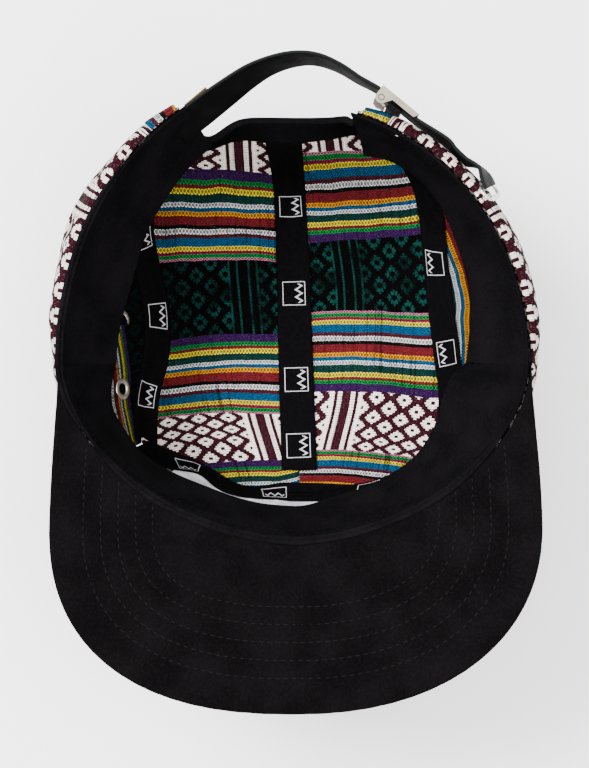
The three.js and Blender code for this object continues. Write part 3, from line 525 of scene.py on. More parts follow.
def cloth_material():
    """The banded cloth, from its weft and warp places in millimetres."""
    material, tree, shader = start_material("handwoven_bands")
    vector, along, warp = mapped(tree, "cloth")
    warp = warp + (tree.noise(vector, 0.07, 1.0) - 0.5) * 1.6 + (tree.noise(vector, 0.7, 1.0) - 0.5) * 0.35
    band = (warp / REPEAT).fraction() * REPEAT
    half = band - (band > STRIPE_BAND + FLOWER_BAND) * (STRIPE_BAND + FLOWER_BAND)
    is_flower = half > STRIPE_BAND
    is_green = band < STRIPE_BAND + FLOWER_BAND

    share = half / STRIPE_BAND
    colours = [(start, srgb(code)) for (code, _, _), start in zip(STRIPES, stripe_starts)]
    flags = [(start, (chained,) * 3) for (_, _, chained), start in zip(STRIPES, stripe_starts)]
    stripe = tree.node("ShaderNodeValToRGB", {"interpolation": "CONSTANT", "stops": colours}, {0: share})
    chained = tree.node("ShaderNodeValToRGB", {"interpolation": "CONSTANT", "stops": flags}, {0: share})
    chained = tree.node("ShaderNodeRGBToBW", {}, {0: chained})
    middle = tree.node("ShaderNodeValToRGB", {"interpolation": "LINEAR", "stops": chain_stops()}, {0: share})
    edge = 1 - tree.node("ShaderNodeRGBToBW", {}, {0: middle})
    wave = abs((along * (math.pi / CHAIN_PITCH)).sine())
    gap = abs(edge - wave * 0.95).steps_up(0.1, 0.3) * chained
    slant = abs(((along - warp * 0.9) / 1.1).fraction() - 0.5).steps_up(0.15, 0.4)
    row = abs((warp / 0.8).fraction() - 0.5).steps_up(0.25, 0.5)
    dash = tree.noise(vector, 1.8, 2.0).steps_up(0.4, 0.6)
    plain = (slant * 0.45 + row * 0.35 + dash * 0.5).least(1.0) * (1 - chained)
    stripe = (gap * 0.92 + plain).least(1.0).shade(stripe, 0.94)

    in_band = half - STRIPE_BAND
    size = abs(((along / RIB_REPEAT).fraction() - 0.5) * RIB_REPEAT)
    whole, ring, row_gap = flowers(tree, vector, size, in_band, is_green)
    float_gap = abs((in_band / 1.07).fraction() - 0.5).steps_up(0.28, 0.5)
    beads = float_gap < 0.8
    uneven = (tree.noise(vector, 1.6, 1.0) - 0.5) * 0.8
    thick = abs(size - 2.8 + uneven * 0.5) + float_gap * 0.35 < 0.95
    rim = abs(size - 6.05 + uneven * 0.7) + float_gap * 0.5 < 1.0
    outside = size > 5.2
    cream_mask = (whole * outside + thick * beads + rim).least(1.0)
    thin = (abs(size - 2.35) < 0.42) * beads + (abs(size - 5.7) < 0.42) * beads
    green_mask = (ring * outside + thin).least(1.0)
    floats = row_gap.most(float_gap * (1 - outside))
    ground = abs(((along + warp * 0.9) / 1.05).fraction() - 0.5).steps_up(0.2, 0.4) * 0.6 + dash * 0.4
    ground_colour = ground.shade(is_green.colour(MAROON, BLACK), 0.7)
    pale = (tree.noise(vector, 2.2, 1.0) > 0.66) * (1 - is_green) * 0.35
    ground_colour = pale.colour(ground_colour, srgb("8a5a66"))
    # The green flowers fade at random, and left of the top panels' middle they are darkened further as
    # painted shade, the shadow of the cap's left wall.
    fade = tree.noise(vector, 0.11, 2.0).steps_up(0.42, 0.66)
    fade = fade.most((RIB_REPEAT * 5.5 - along).steps_up(9, 36))
    speck = tree.noise(vector, 2.0, 1.0).steps_up(0.5, 0.6)
    green = (fade * 0.8 + speck * 0.4 + dash * 0.3).least(1.0).shade(GREEN, 0.9)
    figure = (floats * 0.2 + dash * 0.07).shade(CREAM, 1.0)
    cream = cream_mask.colour(ground_colour, figure)
    green = green_mask.colour(ground_colour, green)
    colour = is_flower.colour(stripe, is_green.colour(cream, green))

    warp_thread = tree.node("ShaderNodeCombineXYZ", {}, {0: along * 1.3, 1: warp * 0.02, 2: 3.7})
    thread = tree.noise(warp_thread, 1.0, 2.0)
    zone = tree.noise(vector, 0.035, 1.0).steps_up(0.46, 0.58)
    shown = thread.steps_up(0.54, 0.62) * (zone * 0.6 + 0.4) * (1 - is_flower * 0.6) * 0.8
    colour = shown.shade(colour, 0.85)
    # Painted shade: the cloth is darkened where its weft place is below five and a half repeats, left of the
    # top panels' middle, and a little at random in soft patches.
    painted_left_shade = (RIB_REPEAT * 5.5 - along).steps_up(4, 40)
    colour = (painted_left_shade * 0.3 + tree.noise(vector, 0.5, 2.0).steps_up(0.4, 0.7) * 0.15).shade(colour, 1.0)
    lint = (tree.noise(vector, 2.4, 1.0) > 0.72) * (1 - is_flower * is_green * 0.8)
    colour = (lint * 0.3).colour(colour, srgb("b5a9a4"))
    position = tree.node("ShaderNodeTexCoord", output="Object")
    # Painted shade: black on the cloth where each eyelet's hole is.
    for _, key, u, v in EYELETS:
        centre = tuple(float(c) for c in to_shared(PATCH[key](np.array(u), np.array(v))))
        apart = tree.node("ShaderNodeVectorMath", {"operation": "DISTANCE"},
                          {0: position, 1: centre}, "Value")
        colour = (apart < HOLE_SHADE_RADIUS).colour(colour, BLACK)
    light = (cream_mask * (1 - is_green) + green_mask * is_green) * is_flower
    height = (light * 0.6 + chained * (1 - is_flower) * 0.5 - gap * 0.9 - plain * 0.5
              - floats * is_flower * 0.2)
    finish_material(tree, shader, colour, height, 0.0003, Roughness=0.95, Specular_IOR_Level=0.04)
    return material


WOVEN = cloth_material()

# %% [markdown]
# The blacks are four different things: the tape's fine herringbone, the sweatband's
# slanting twill, the brim's smooth close cotton and the strap's leather. Only their
# grain, their sheen and a little lint tell them apart, so each gets its own.


# %% Black cottons
def twill_material(name, tone, slant, pitch, lint_amount):
    """A cotton with slanting ribs a given pitch apart, soft worn patches and lint."""
    material, tree, shader = start_material(name)
    vector, along, across = mapped(tree, "cloth")
    rib = ((along + across * slant) / pitch * 6.283).sine()
    thread = ((along - across) / (pitch * 0.6) * 6.283).sine()
    patch = tree.noise(vector, 0.06, 4.0).steps_up(0.3, 0.7)
    mottle = tree.noise(vector, 0.8, 3.0).steps_up(0.35, 0.7)
    base = (patch * 0.6 + mottle * 0.4).colour(tuple(0.6 * c for c in tone), tuple(1.5 * c for c in tone))
    shaded = (rib * 0.5 + 0.5).shade(base, 0.4)
    fleck = tree.noise(vector, 3.1, 1.0).steps_up(0.7, 0.8)
    colour = (fleck * lint_amount).colour(shaded, (0.07, 0.065, 0.068))
    finish_material(tree, shader, colour, rib * 0.6 + thread * 0.25 + mottle * 0.8, 0.00012,
                    Roughness=0.95, Specular_IOR_Level=0.05, IOR=1.2)
    return material


MARK_PITCH, MARK_HALF_LENGTH, MARK_HALF_WIDTH = 36.5, 5.3, 5.1


def tape_material(name, has_marks):
    """Black tape in herringbone, with a small pale woven frame and zigzag at intervals."""
    material, tree, shader = start_material(name)
    vector, along, across = mapped(tree, "cloth")
    slant = abs((across / 3.2).fraction() - 0.5) * 3.2
    rib = ((along + slant * 2.0) / 0.9 * 6.283).sine()
    mottle = tree.noise(vector, 0.5, 3.0).steps_up(0.35, 0.7)
    base = ((rib * 0.5 + 0.5) * 0.7 + mottle * 0.3).colour((0.0013, 0.0012, 0.0014), (0.0042, 0.0037, 0.0043))
    fleck = tree.noise(vector, 2.8, 1.0).steps_up(0.7, 0.8)
    colour = (fleck * 0.2).colour(base, (0.07, 0.065, 0.065))
    height = rib * 0.5
    if has_marks:
        x = ((along / MARK_PITCH).fraction() - 0.5) * MARK_PITCH
        box = (abs(x) / MARK_HALF_LENGTH).most(abs(across) / MARK_HALF_WIDTH)
        line = (box < 1.0) * (box > 0.93)
        zigzag = abs((x / 3.3).fraction() - 0.5) * 5.6
        waves_drawn = abs(across - 0.75 - zigzag) < 0.6
        inner = (abs(x) < 4.2) * (across > -0.3) * (across < 4.2)
        mark = (line + waves_drawn * inner).least(1.0)
        picks = (tree.noise(vector, 1.4, 1.0) > 0.6) * 0.4
        colour = (mark * (1 - picks)).colour(colour, (0.5, 0.49, 0.52))
        height = height + mark * 0.6
    finish_material(tree, shader, colour, height, 0.00012, Roughness=0.95, Specular_IOR_Level=0.04, IOR=1.2)
    return material


TAPE = tape_material("black_tape_with_marks", True)
BINDING = tape_material("black_binding_tape", False)
TWILL = twill_material("black_band_twill", (0.0042, 0.0037, 0.0043), 1.0, 0.8, 0.2)
BRIM_COTTON = twill_material("black_brim_cotton", (0.0034, 0.0027, 0.0032), 0.2, 0.55, 0.22)

# %% [markdown]
# Leather has a fine pebbled grain, a slight gloss and edges that were painted and then
# rubbed. Here one coordinate runs along the strap and the other across it, from -1 at one
# edge to 1 at the other, so that the edge paint and the crease beside it can be drawn.


# %% Leather, metal, thread and backing
def leather_material(name, body, edge, roughness):
    """Leather with a pebbled grain, a pressed line inside each edge that is darkened as painted shade, and
    painted edges.
    """
    material, tree, shader = start_material(name)
    vector, along, across = mapped(tree, "cloth")
    position = tree.node("ShaderNodeTexCoord", output="Object")
    grain = tree.node("ShaderNodeTexVoronoi", {"feature": "DISTANCE_TO_EDGE"},
                      {"Vector": position, "Scale": 1500.0})
    cloud = tree.noise(position, 160.0, 3.0)
    rim = abs(across).steps_up(0.93, 1.0)
    crease = 1 - abs(abs(across) - 0.78).steps_up(0.015, 0.05)
    colour = (cloud.steps_up(0.35, 0.7) * 0.8).colour(body, tuple(1.9 * c for c in body))
    colour = rim.colour(colour, edge)
    # Painted shade: the pressed line is darkened by half, as shade in its groove.
    colour = crease.shade(colour, 0.5)
    rough = roughness + cloud.steps_up(0.4, 0.7) * 0.14
    height = grain.steps_up(0.0, 0.25) * 0.35 - crease * 1.5 + cloud * 0.8
    finish_material(tree, shader, colour, height, 0.00012, Roughness=rough, Specular_IOR_Level=0.3, IOR=1.14)
    return material


def metal_material(name, tone, roughness, grain_direction):
    """Plated metal, brushed along one way, a little darker and duller in places."""
    material, tree, shader = start_material(name)
    position = tree.node("ShaderNodeTexCoord", output="Object")
    turned = tree.node("ShaderNodeMapping", {}, {"Vector": position, "Scale": grain_direction})
    brushed = tree.noise(turned, 400.0, 3.0)
    cloud = tree.noise(position, 260.0, 3.0)
    colour = (cloud.steps_up(0.3, 0.75) * 0.5).colour(tone, tuple(0.62 * c for c in tone))
    rough = roughness + brushed * 0.16 + cloud * 0.1
    finish_material(tree, shader, colour, brushed * 0.5 + cloud * 0.3, 0.00004, Roughness=rough, Metallic=1.0)
    return material


def thread_material(name, tone):
    """Spun thread: a fine fuzz of lighter and darker over one colour."""
    material, tree, shader = start_material(name)
    position = tree.node("ShaderNodeTexCoord", output="Object")
    fuzz = tree.noise(position, 2600.0, 2.0)
    colour = fuzz.steps_up(0.35, 0.7).colour(tuple(0.7 * c for c in tone), tone)
    finish_material(tree, shader, colour, fuzz, 0.0001, Roughness=0.95, Specular_IOR_Level=0.04)
    return material


def backing_material():
    """Pale pressed backing: mottled fibres, and soft clouds of painted shade for its creases."""
    material, tree, shader = start_material("pale_backing")
    vector, along, across = mapped(tree, "cloth")
    fibres = tree.noise(vector, 1.1, 4.0)
    cloud = tree.noise(vector, 0.12, 2.0)
    # Painted shade: soft clouds of darker colour stand for the shade of the crumples.
    colour = cloud.steps_up(0.3, 0.7).colour((0.42, 0.42, 0.47), (0.78, 0.78, 0.8))
    colour = fibres.steps_up(0.45, 0.75).shade(colour, 0.25)
    finish_material(tree, shader, colour, fibres, 0.0003, Roughness=0.9)
    return material


LEATHER = leather_material("black_strap_leather", (0.0014, 0.0014, 0.0016), (0.006, 0.007, 0.0068), 0.55)
BROWN = leather_material("brown_end_leather", (0.13, 0.07, 0.022), (0.09, 0.045, 0.02), 0.55)
NICKEL = metal_material("satin_nickel", (0.23, 0.195, 0.16), 0.42, (1, 6, 1))
EYELET_METAL = metal_material("eyelet_plate", (0.6, 0.56, 0.5), 0.24, (1, 1, 1))
BLACK_THREAD = thread_material("black_thread", (0.003, 0.0028, 0.0033))
GREY_THREAD = thread_material("charcoal_thread", (0.0065, 0.0058, 0.0066))
GOLD_THREAD = thread_material("gold_thread", srgb("b8922e"))
WHITE_THREAD = thread_material("white_thread", srgb("d9d5cd"))
BACKING = backing_material()

# %% [markdown]
# Cloth edges are never knife sharp. Every wall here is a middle surface with a thickness
# that falls off as a quarter circle near its border, so each edge comes out round. The
# grid has a few extra lines close to the border to carry that round.


# %% Walls from grids
def border_shares(count, length, radius):
    """Shares from 0 to 1 with extra ones near both ends, for the round of the edge."""
    close = np.array([0, 0.04, 0.16, 0.4, 0.75]) * radius / length
    return np.concatenate([close, np.linspace(radius / length, 1 - radius / length, count), 1 - close[::-1]])


def grid_lengths(points):
    """How far each grid point is from the nearest border, in millimetres."""
    def run(axis):
        """How far each point is from the nearer end of its row, along one axis."""
        step = np.linalg.norm(np.diff(points, axis=axis), axis=-1)
        zero = np.zeros_like(np.take(step, [0], axis=axis))
        total = np.concatenate([zero, np.cumsum(step, axis=axis)], axis=axis)
        return np.minimum(total, np.take(total, [-1], axis=axis) - total)
    return run(0), run(1)


def grid_normals(points, outward_from=MIDDLE):
    """Normals of a grid of points, pointing away from a place."""
    normal = unit(np.cross(np.gradient(points, axis=0), np.gradient(points, axis=1)))
    inward = np.sum(normal * (points - outward_from), -1, keepdims=True) < 0
    return np.where(inward, -normal, normal)


def link(mesh_object, material, body="cap", replaced=()):
    """Gives a piece its material and its body, and hides the parts that it stands for."""
    mesh_object.data.materials.append(material)
    bpy.context.scene.collection.objects.link(mesh_object)
    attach(mesh_object, body)
    if replaced:
        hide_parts(*replaced)
    return mesh_object


def make_mesh(name, points, quads, cloth=None, smooth_faces=True):
    """A mesh from whole arrays, with the cloth coordinates on its points."""
    mesh = bpy.data.meshes.new(name)
    mesh.vertices.add(len(points))
    mesh.vertices.foreach_set("co", to_shared(points).astype(np.float32).ravel())
    corners = quads.shape[1]
    mesh.loops.add(quads.size)
    mesh.loops.foreach_set("vertex_index", quads.astype(np.int32).ravel())
    mesh.polygons.add(len(quads))
    mesh.polygons.foreach_set("loop_start", np.arange(0, quads.size, corners, dtype=np.int32))
    mesh.update(calc_edges=True)
    mesh.validate()
    if cloth is not None:
        attribute = mesh.attributes.new("cloth", "FLOAT_VECTOR", "POINT")
        flat = np.concatenate([cloth, np.zeros((len(cloth), 1))], 1)
        attribute.data.foreach_set("vector", flat.astype(np.float32).ravel())
    mesh.polygons.foreach_set("use_smooth", np.full(len(mesh.polygons), smooth_faces))
    return bpy.data.objects.new(name, mesh)


def grid_quads(rows, columns, start=0, flip=False):
    """Index quads of a grid of points, numbered row by row."""
    index = np.arange(rows * columns).reshape(rows, columns) + start
    quads = np.stack([index[:-1, :-1], index[1:, :-1], index[1:, 1:], index[:-1, 1:]], -1).reshape(-1, 4)
    return quads[:, ::-1] if flip else quads


def wall(name, inner, outer, cloth):
    """A closed wall between two grids, with its four borders joined by strips."""
    rows, columns = inner.shape[:2]
    count = rows * columns
    index = np.arange(count).reshape(rows, columns)
    loop = np.concatenate([index[0, :], index[1:, -1], index[-1, -2::-1], index[-2:0:-1, 0]])
    after = np.roll(loop, -1)
    strip = np.stack([loop, after, after + count, loop + count], -1)
    quads = np.concatenate([grid_quads(rows, columns), grid_quads(rows, columns, count, True), strip])
    points = np.concatenate([inner.reshape(-1, 3), outer.reshape(-1, 3)])
    a, b, c, d = (points[quads[:, i]] for i in range(4))
    volume = np.sum(a * np.cross(b, c)) + np.sum(a * np.cross(c, d))
    if volume < 0:
        quads = quads[:, ::-1]
    both = np.concatenate([cloth.reshape(-1, 2)] * 2)
    return make_mesh(name, points, quads, both)


def cloth_wall(name, middle, thickness, cloth, round_edge=None, normals=None):
    """A wall of even thickness about a middle grid, with round borders."""
    radius = round_edge or thickness / 2
    normal = grid_normals(middle) if normals is None else normals
    near_row, near_column = grid_lengths(middle)
    near = np.clip(np.minimum(near_row, near_column) / radius, 0, 1)
    half = np.maximum(thickness / 2 * np.sqrt(1 - (1 - near) ** 2), 0.02)[..., None]
    return wall(name, middle - normal * half, middle + normal * half, cloth)


# %% [markdown]
# The panels are laid over their patches, with the wall outside of it. Small soft folds
# press into the cloth between the seams and die out beside them. The two top panels
# carry the bands across the cap, and the sides carry them round it, as the photo shows.
# On the left panel the stripes run from purple to pink going forward, and on the right
# one the cloth was turned round, so they run from pink to purple.

# %% Cloth panels
CLOTH_THICKNESS = 1.0
TOP_BANDS = {
    "top_left": [(-60, 118, 118), (0, 88.2, 88.2), (37, 53.1, 51.8), (67, 22.7, 18.0),
                 (104, -12.3, -14.9), (114, -17.7, -21.4), (124, -22.6, -27.2),
                 (134, -30.3, -36.5), (171, -56, -64)],
    "top_right": [(164, 130, 130), (104, 95.4, 95.4), (67, 60.9, 63.5), (37, 30.5, 30.0),
                  (0, -3.4, -6.4), (-10, -13.9, -17.6), (-20, -22, -26.3),
                  (-30, -28, -32.7), (-67, -54, -62)],
}
# Warp places up the side panels: the length up from the rim, and the place in the repeat.
SIDE_WARP = {"side_left": [(0, 132.5), (20, 118), (60, 106), (72, 89.5), (83, 67), (92, 59), (150, 20)],
             "side_right": [(0, 132.5), (20, 117.7), (60, 101.7), (95, 75.8), (150, 35.1)]}
RIB_PATH = {
    "top_left": [(-60, -1), (-45, -5), (-28.6, -10.2), (-13.6, -15.2), (5, -18.5), (23, -20),
                 (50, -22.6), (100, -23)],
    "top_right": [(-60, 12), (-40, 14.5), (-26, 17.3), (-16, 20.3), (-5, 22.5), (10, 23.4), (33, 24.1),
                  (47, 23.3), (60, 21.2), (80, 19), (92, 16), (102, 13)],
}
BEND_POWER = {"top_left": 0.55, "top_right": 1.5}
# How the bands bow up across each panel: its middle, and the bow's height there.
BOW_HALF = 24.0
BOW = {"top_left": (-31.0, 1.5), "top_right": (29.0, 0.8)}


def sag(name, x):
    """The bands' bow at a place across a panel, a parabola over its width."""
    middle, height = BOW[name]
    return height * np.maximum(1 - ((x - middle) / BOW_HALF) ** 2, 0)


def top_cloth(name, u, points):
    """Weft place from x less the rib's path, and warp place from y by the bands' borders."""
    rows = TOP_BANDS[name]
    y = points[..., 1] - sag(name, points[..., 0])
    outwards = u ** BEND_POWER[name]
    warp = np.full(y.shape, float(rows[0][0]))
    for (low_mm, low_in, low_out), (high_mm, high_in, high_out) in zip(rows[:-1], rows[1:]):
        start = low_in * (1 - outwards) + low_out * outwards
        end = high_in * (1 - outwards) + high_out * outwards
        warp += (high_mm - low_mm) * np.clip((start - y) / (start - end), 0, 1)
    path = np.array(RIB_PATH[name])
    middle = sum(np.interp(y + shift, path[:, 0], path[:, 1]) for shift in (-6, -3, 0, 3, 6)) / 5
    stretch = 0.94 if name == "top_left" else 1.0
    return np.stack([(points[..., 0] - middle) * stretch + RIB_REPEAT * 5.5, warp], -1)


def side_cloth(key, u, points, v):
    """Weft place round the rim, and warp place from the rim up, cut away at the back."""
    step = np.linalg.norm(np.diff(points[len(points) // 3], axis=0), axis=-1)
    along = np.concatenate([[0], np.cumsum(step)])[None, :] + 0 * v
    rise = np.linalg.norm(np.diff(points, axis=0), axis=-1)
    up = np.concatenate([np.zeros((1, points.shape[1])), np.cumsum(rise, axis=0)])
    cut = 52 * smooth((u - 0.85) / 0.15) ** 1.15
    lengths, places = np.array(SIDE_WARP[key]).T
    return np.stack([along + RIB_REPEAT * 3.2, np.interp(up, lengths, places) - cut], -1)


def front_cloth(u, points, v):
    """Weft place across the panel and warp place up it."""
    rise = np.linalg.norm(np.diff(points, axis=0), axis=-1)
    up = np.concatenate([np.zeros((1, points.shape[1])), np.cumsum(rise, axis=0)])
    return np.stack([points[..., 0] + RIB_REPEAT * 4.5, 30.0 + up], -1)


# How far outside the rim's line the twill ends, in front and at each side, and how far
# the cloth stands out there, beside the brim and at the back corners.
TWILL_FRONT, TWILL_LEFT, TWILL_RIGHT = 2.0, 1.8, -0.4
CLOTH_STAND, STAND_BY_BRIM, STAND_AT_CORNER = 5.0, 2.5, 3.0
ROLL_DEPTH, ROLL_OVER = 6.0, 18.0


def twill_edge(angle):
    """The twill's outer edge: one stand in front and one at each side, level at the back."""
    turn = np.abs(angle)
    front = 1 - smooth((turn - 40) / 25)
    side = smooth((turn - 60) / 20) * (1 - smooth((turn - 122) / 16))
    return TWILL_FRONT * front + np.where(np.asarray(angle) < 0, TWILL_LEFT, TWILL_RIGHT) * side


def cloth_edge(angle):
    """The cloth's silhouette: a stand that is less beside the brim and at the corners."""
    turn = np.abs(angle)
    end = np.where(np.asarray(angle) < 0, LEFT_END, RIGHT_END)
    stand = STAND_BY_BRIM + (CLOTH_STAND - STAND_BY_BRIM) * smooth((turn - 88) / 12)
    return stand - (CLOTH_STAND - STAND_AT_CORNER) * smooth((turn - end + 12) / 12)


def roll(angle, share):
    """How far out and how high the rolled edge is, by angle and share of its quarter turn."""
    start = np.minimum(twill_edge(angle), -0.6) + 0.65
    stand = cloth_edge(angle) - CLOTH_THICKNESS / 2
    turn = np.pi / 2 * share
    return start + (stand - start) * np.sin(turn), -0.6 - 5.4 * (1 - np.cos(turn))


def rolled(side, u, points):
    """A side panel's middle whose edge is rolled outwards over its first millimetres."""
    angle = side * (FRONT_CORNER + ((LEFT_END if side < 0 else RIGHT_END) - FRONT_CORNER) * u)
    rim, outward = rim_point(angle), rim_outward(angle)
    out, high = np.sum((points - rim) * outward, -1), (points - rim)[..., 2]
    rise = np.linalg.norm(np.diff(points, axis=0), axis=-1)
    depth = np.concatenate([np.zeros((1, points.shape[1])), np.cumsum(rise, axis=0)])
    row = np.argmin(abs(depth - ROLL_DEPTH), axis=0)
    at_end = np.take_along_axis(out, row[None], 0), np.take_along_axis(high, row[None], 0)
    roll_out, roll_high = roll(angle, np.clip(depth / ROLL_DEPTH, 0, 1) ** 0.6)
    fall = 1 - smooth((depth - ROLL_DEPTH) / ROLL_OVER)
    new_out = np.where(depth < ROLL_DEPTH, roll_out, out + (roll_out - at_end[0]) * fall)
    new_high = np.where(depth < ROLL_DEPTH, roll_high, high + (roll_high - at_end[1]) * fall)
    amount = smooth((abs(angle) - 88) / 8) * smooth((1 - u) / 0.03 + 0.15)
    moved = outward * (new_out - out)[..., None] * amount[..., None]
    moved[..., 2] += (new_high - high) * amount
    return points + moved


def panel(name, key, replaced, columns, rows, folds, seed):
    """One cloth panel, with soft folds that fade towards its seams."""
    patch = PATCH[key]
    u, v = np.meshgrid(border_shares(columns, 100, 0.6), border_shares(rows, 100, 0.6))
    inset = 0.0006
    u, v = inset + (1 - 2 * inset) * u, inset + (1 - 2 * inset) * v
    base = patch(u, v)
    normal = patch_normal(patch, u, v)
    near_row, near_column = grid_lengths(base)
    fade = smooth(np.minimum(near_row, near_column) / 15 - 0.35)
    fold = (0.5 + 0.5 * waves(u * 100, v * 100, 34, seed)) * folds
    fold += (0.5 + 0.5 * waves(u * 100, v * 100, 13, seed + 1)) * folds * 0.3
    tuck = 0.45 * np.exp(-np.minimum(near_row, near_column) / 1.3)
    middle = base + normal * (CLOTH_THICKNESS / 2 + 0.1 - fold * fade - tuck * 0.4)[..., None]
    cloth = {"front": lambda: front_cloth(u, base, v)}.get(
        key, lambda: top_cloth(key, u, base) if key.startswith("top") else side_cloth(key, u, base, v))()
    if key.startswith("side"):
        middle = rolled(-1 if key.endswith("left") else 1, u, middle)
        share = smooth((u - 0.2) / 0.1)[..., None]
        normal = unit(normal * (1 - share) + grid_normals(middle) * share)
    piece = cloth_wall(name, middle, CLOTH_THICKNESS, cloth, normals=normal)
    print(name, len(piece.data.polygons), "faces")
    return link(piece, WOVEN, replaced=[replaced])


panel("front_panel_cloth", "front", "front_panel", 110, 60, 0.8, 11)
panel("top_panel_left_cloth", "top_left", "top_panel_left", 90, 130, 0.9, 21)
panel("top_panel_right_cloth", "top_right", "top_panel_right", 90, 130, 0.9, 31)
panel("side_panel_left_cloth", "side_left", "side_panel_left", 130, 70, 1.3, 41)
panel("side_panel_right_cloth", "side_right", "side_panel_right", 130, 70, 1.3, 51)

# %% [markdown]
# At the two back corners a scrap of the striped cloth is folded over the rolled edge. On
# the left its stripes run across the edge, and on the right they run along it.

# %% Corner facings
def corner_facing(name, start, end, across_edge, first):
    """A scrap over the roll between two angles, its stripes counted from a first place."""
    angle, share = np.meshgrid(np.linspace(start, end, 30), np.linspace(0.02, 0.95, 24))
    out, high = roll(angle, share ** 0.8)
    lift = CLOTH_THICKNESS / 2 + 0.35
    out, high = out + lift * np.sin(share * np.pi / 2), high + lift * np.cos(share * np.pi / 2)
    middle = rim_point(angle) + rim_outward(angle) * out[..., None]
    middle[..., 2] += high
    run = abs(angle - start) * 1.72
    places = (first + run, share * 8) if across_edge else (share * 8, first - share * 9)
    piece = cloth_wall(name, middle, 0.5, np.stack([places[1], places[0]], -1) if across_edge
                       else np.stack([run, places[1]], -1))
    return link(piece, WOVEN)


corner_facing("corner_facing_left", -150.4, -143.0, True, 16.6)
corner_facing("corner_facing_right", 163.2, 156.8, False, 33.2)

# %% [markdown]
# A tape covers each seam inside. It bends over the seam, so its cross section walks off
# on one panel to the left and on the other to the right, and near the seam the two
# panels' normals are blended so that the tape rounds the corner instead of creasing.

# %% Tapes over the seams
TAPE_HALF = 7.5
TAPE_LIFT, TAPE_THICKNESS = 0.75, 0.7


def share_of(patch, u, v, along_u, width):
    """The share of a patch that a width takes up from one of its edges."""
    u, v = np.broadcast_arrays(np.asarray(u, float), np.asarray(v, float))
    inwards = np.where((u if along_u else v) < 0.5, 1.0, -1.0)
    start, share = patch(u, v), np.full(u.shape, 0.02)
    for _ in range(6):
        moved = patch(u + inwards * share, v) if along_u else patch(u, v + inwards * share)
        share = share * width / np.maximum(np.linalg.norm(moved - start, axis=-1), 1e-9)
    return share


def pixel_of(points):
    """Where the camera puts points of the cap's frame, in the photo's pixels."""
    scale = CAMERA_DISTANCE * PIXELS_PER_MM / (CAMERA_DISTANCE - points[..., 2])
    return np.stack([PHOTO_WIDTH / 2 + points[..., 0] * scale, PHOTO_HEIGHT / 2 - points[..., 1] * scale], -1)


def mark_coordinate(along, run, line, axis, pixels):
    """The length along a tape, stretched between its marks so that they are evenly apart."""
    seen = pixel_of(line)[:, axis]
    order = np.argsort(seen)
    centres = np.sort(np.interp(pixels, seen[order], run[order]))
    ends = run[[0, -1]] + np.array([-12.0, 12.0])
    centres = np.concatenate([[min(ends[0], centres[0] - 30)], centres, [max(ends[1], centres[-1] + 30)]])
    around = np.array([-7.0, 7.0])
    knots = (centres[:, None] + around).ravel()
    places = ((np.arange(len(centres)) + 0.5)[:, None] * MARK_PITCH + around).ravel()
    return np.interp(along, knots, places)


def tape_grid(first, second, half=TAPE_HALF, shift=0.0, stretch=1.0, lines=17):
    """Points and normals of a tape whose sides lie on two patches that share a seam.

    A shift moves the tape across the seam, and a stretch widens it, place by place.
    """
    width = np.linspace(-half, half, lines)
    points, normals = [], []
    for w in width:
        place = np.asarray(w * stretch + shift, float)
        (low, low_normal), (high, high_normal) = first(np.maximum(-place, 0)), second(np.maximum(place, 0))
        own = np.where((place > 0)[..., None], high_normal, low_normal)
        share = smooth((place + 3) / 6)[..., None]
        blended = unit(low_normal * (1 - share) + high_normal * share)
        points.append(np.where((place > 0)[..., None], high, low))
        normals.append(blended / np.maximum(np.sum(blended * own, -1, keepdims=True), 0.5))
    return np.stack(points, 1), np.stack(normals, 1), width


def surface_tape(name, points, normals, width, material, replaced, marks=None,
                 wrinkle=0.15, seed=3, lift=TAPE_LIFT):
    """A tape as a thin wall that stands off its panels, with its own coordinates."""
    line = points[:, points.shape[1] // 2]
    run = np.concatenate([[0], np.cumsum(np.linalg.norm(np.diff(line, axis=0), axis=-1))])
    tangent = unit(np.gradient(line, axis=0))
    along = run[:, None] + np.sum((points - line[:, None]) * tangent[:, None], -1)
    along = along if marks is None else mark_coordinate(along, run, line, *marks)
    across = width + 0 * along
    lift = lift + wrinkle * waves(along, across, 24, seed)
    middle = points - normals * lift[..., None]
    piece = cloth_wall(name, middle, TAPE_THICKNESS, np.stack([along, across], -1), normals=unit(normals))
    link(piece, material, replaced=[replaced])
    print(name, "is", round(float(run[-1])), "mm long")
    return middle, unit(normals), run


def on_patch(patch, u, v):
    return patch(u, v), patch_normal(patch, u, v)


# Where the marks' middles are seen in the photo: 0 for x or 1 for y, and the pixels.
MARKS = {"centre": (1, [446, 380, 294, 205]), -1: (1, [395, 316, 237]), 1: (1, [353, 263]),
         "front": (0, [186, 274, 370])}


def centre_tape():
    """The tape over the centre seam, half on each top panel."""
    share = border_shares(90, 180, 0.4) * 0.87 + 0.055
    grid = tape_grid(*[lambda w, patch=PATCH[key]: on_patch(patch, share_of(patch, 0, share, True, w), share)
                       for key in ("top_left", "top_right")])
    return surface_tape("centre_tape_cloth", *grid, TAPE, "center_tape", MARKS["centre"], seed=5)


def side_tape(side):
    """The tape over one side seam, half on the side panel and half on the top panel."""
    share = border_shares(70, 160, 0.4) * 0.885 + 0.015
    word = "left" if side < 0 else "right"
    low, top = PATCH["side_" + word], PATCH["top_" + word]
    grid = tape_grid(lambda w: on_patch(low, share, 1 - share_of(low, share, 1, False, w)),
                     lambda w: on_patch(top, 1 - share_of(top, 1, share, True, w), share))
    return surface_tape(f"side_tape_{word}_cloth", *grid, TAPE, f"side_tape_{word}",
                        MARKS[side], seed=7 + side)


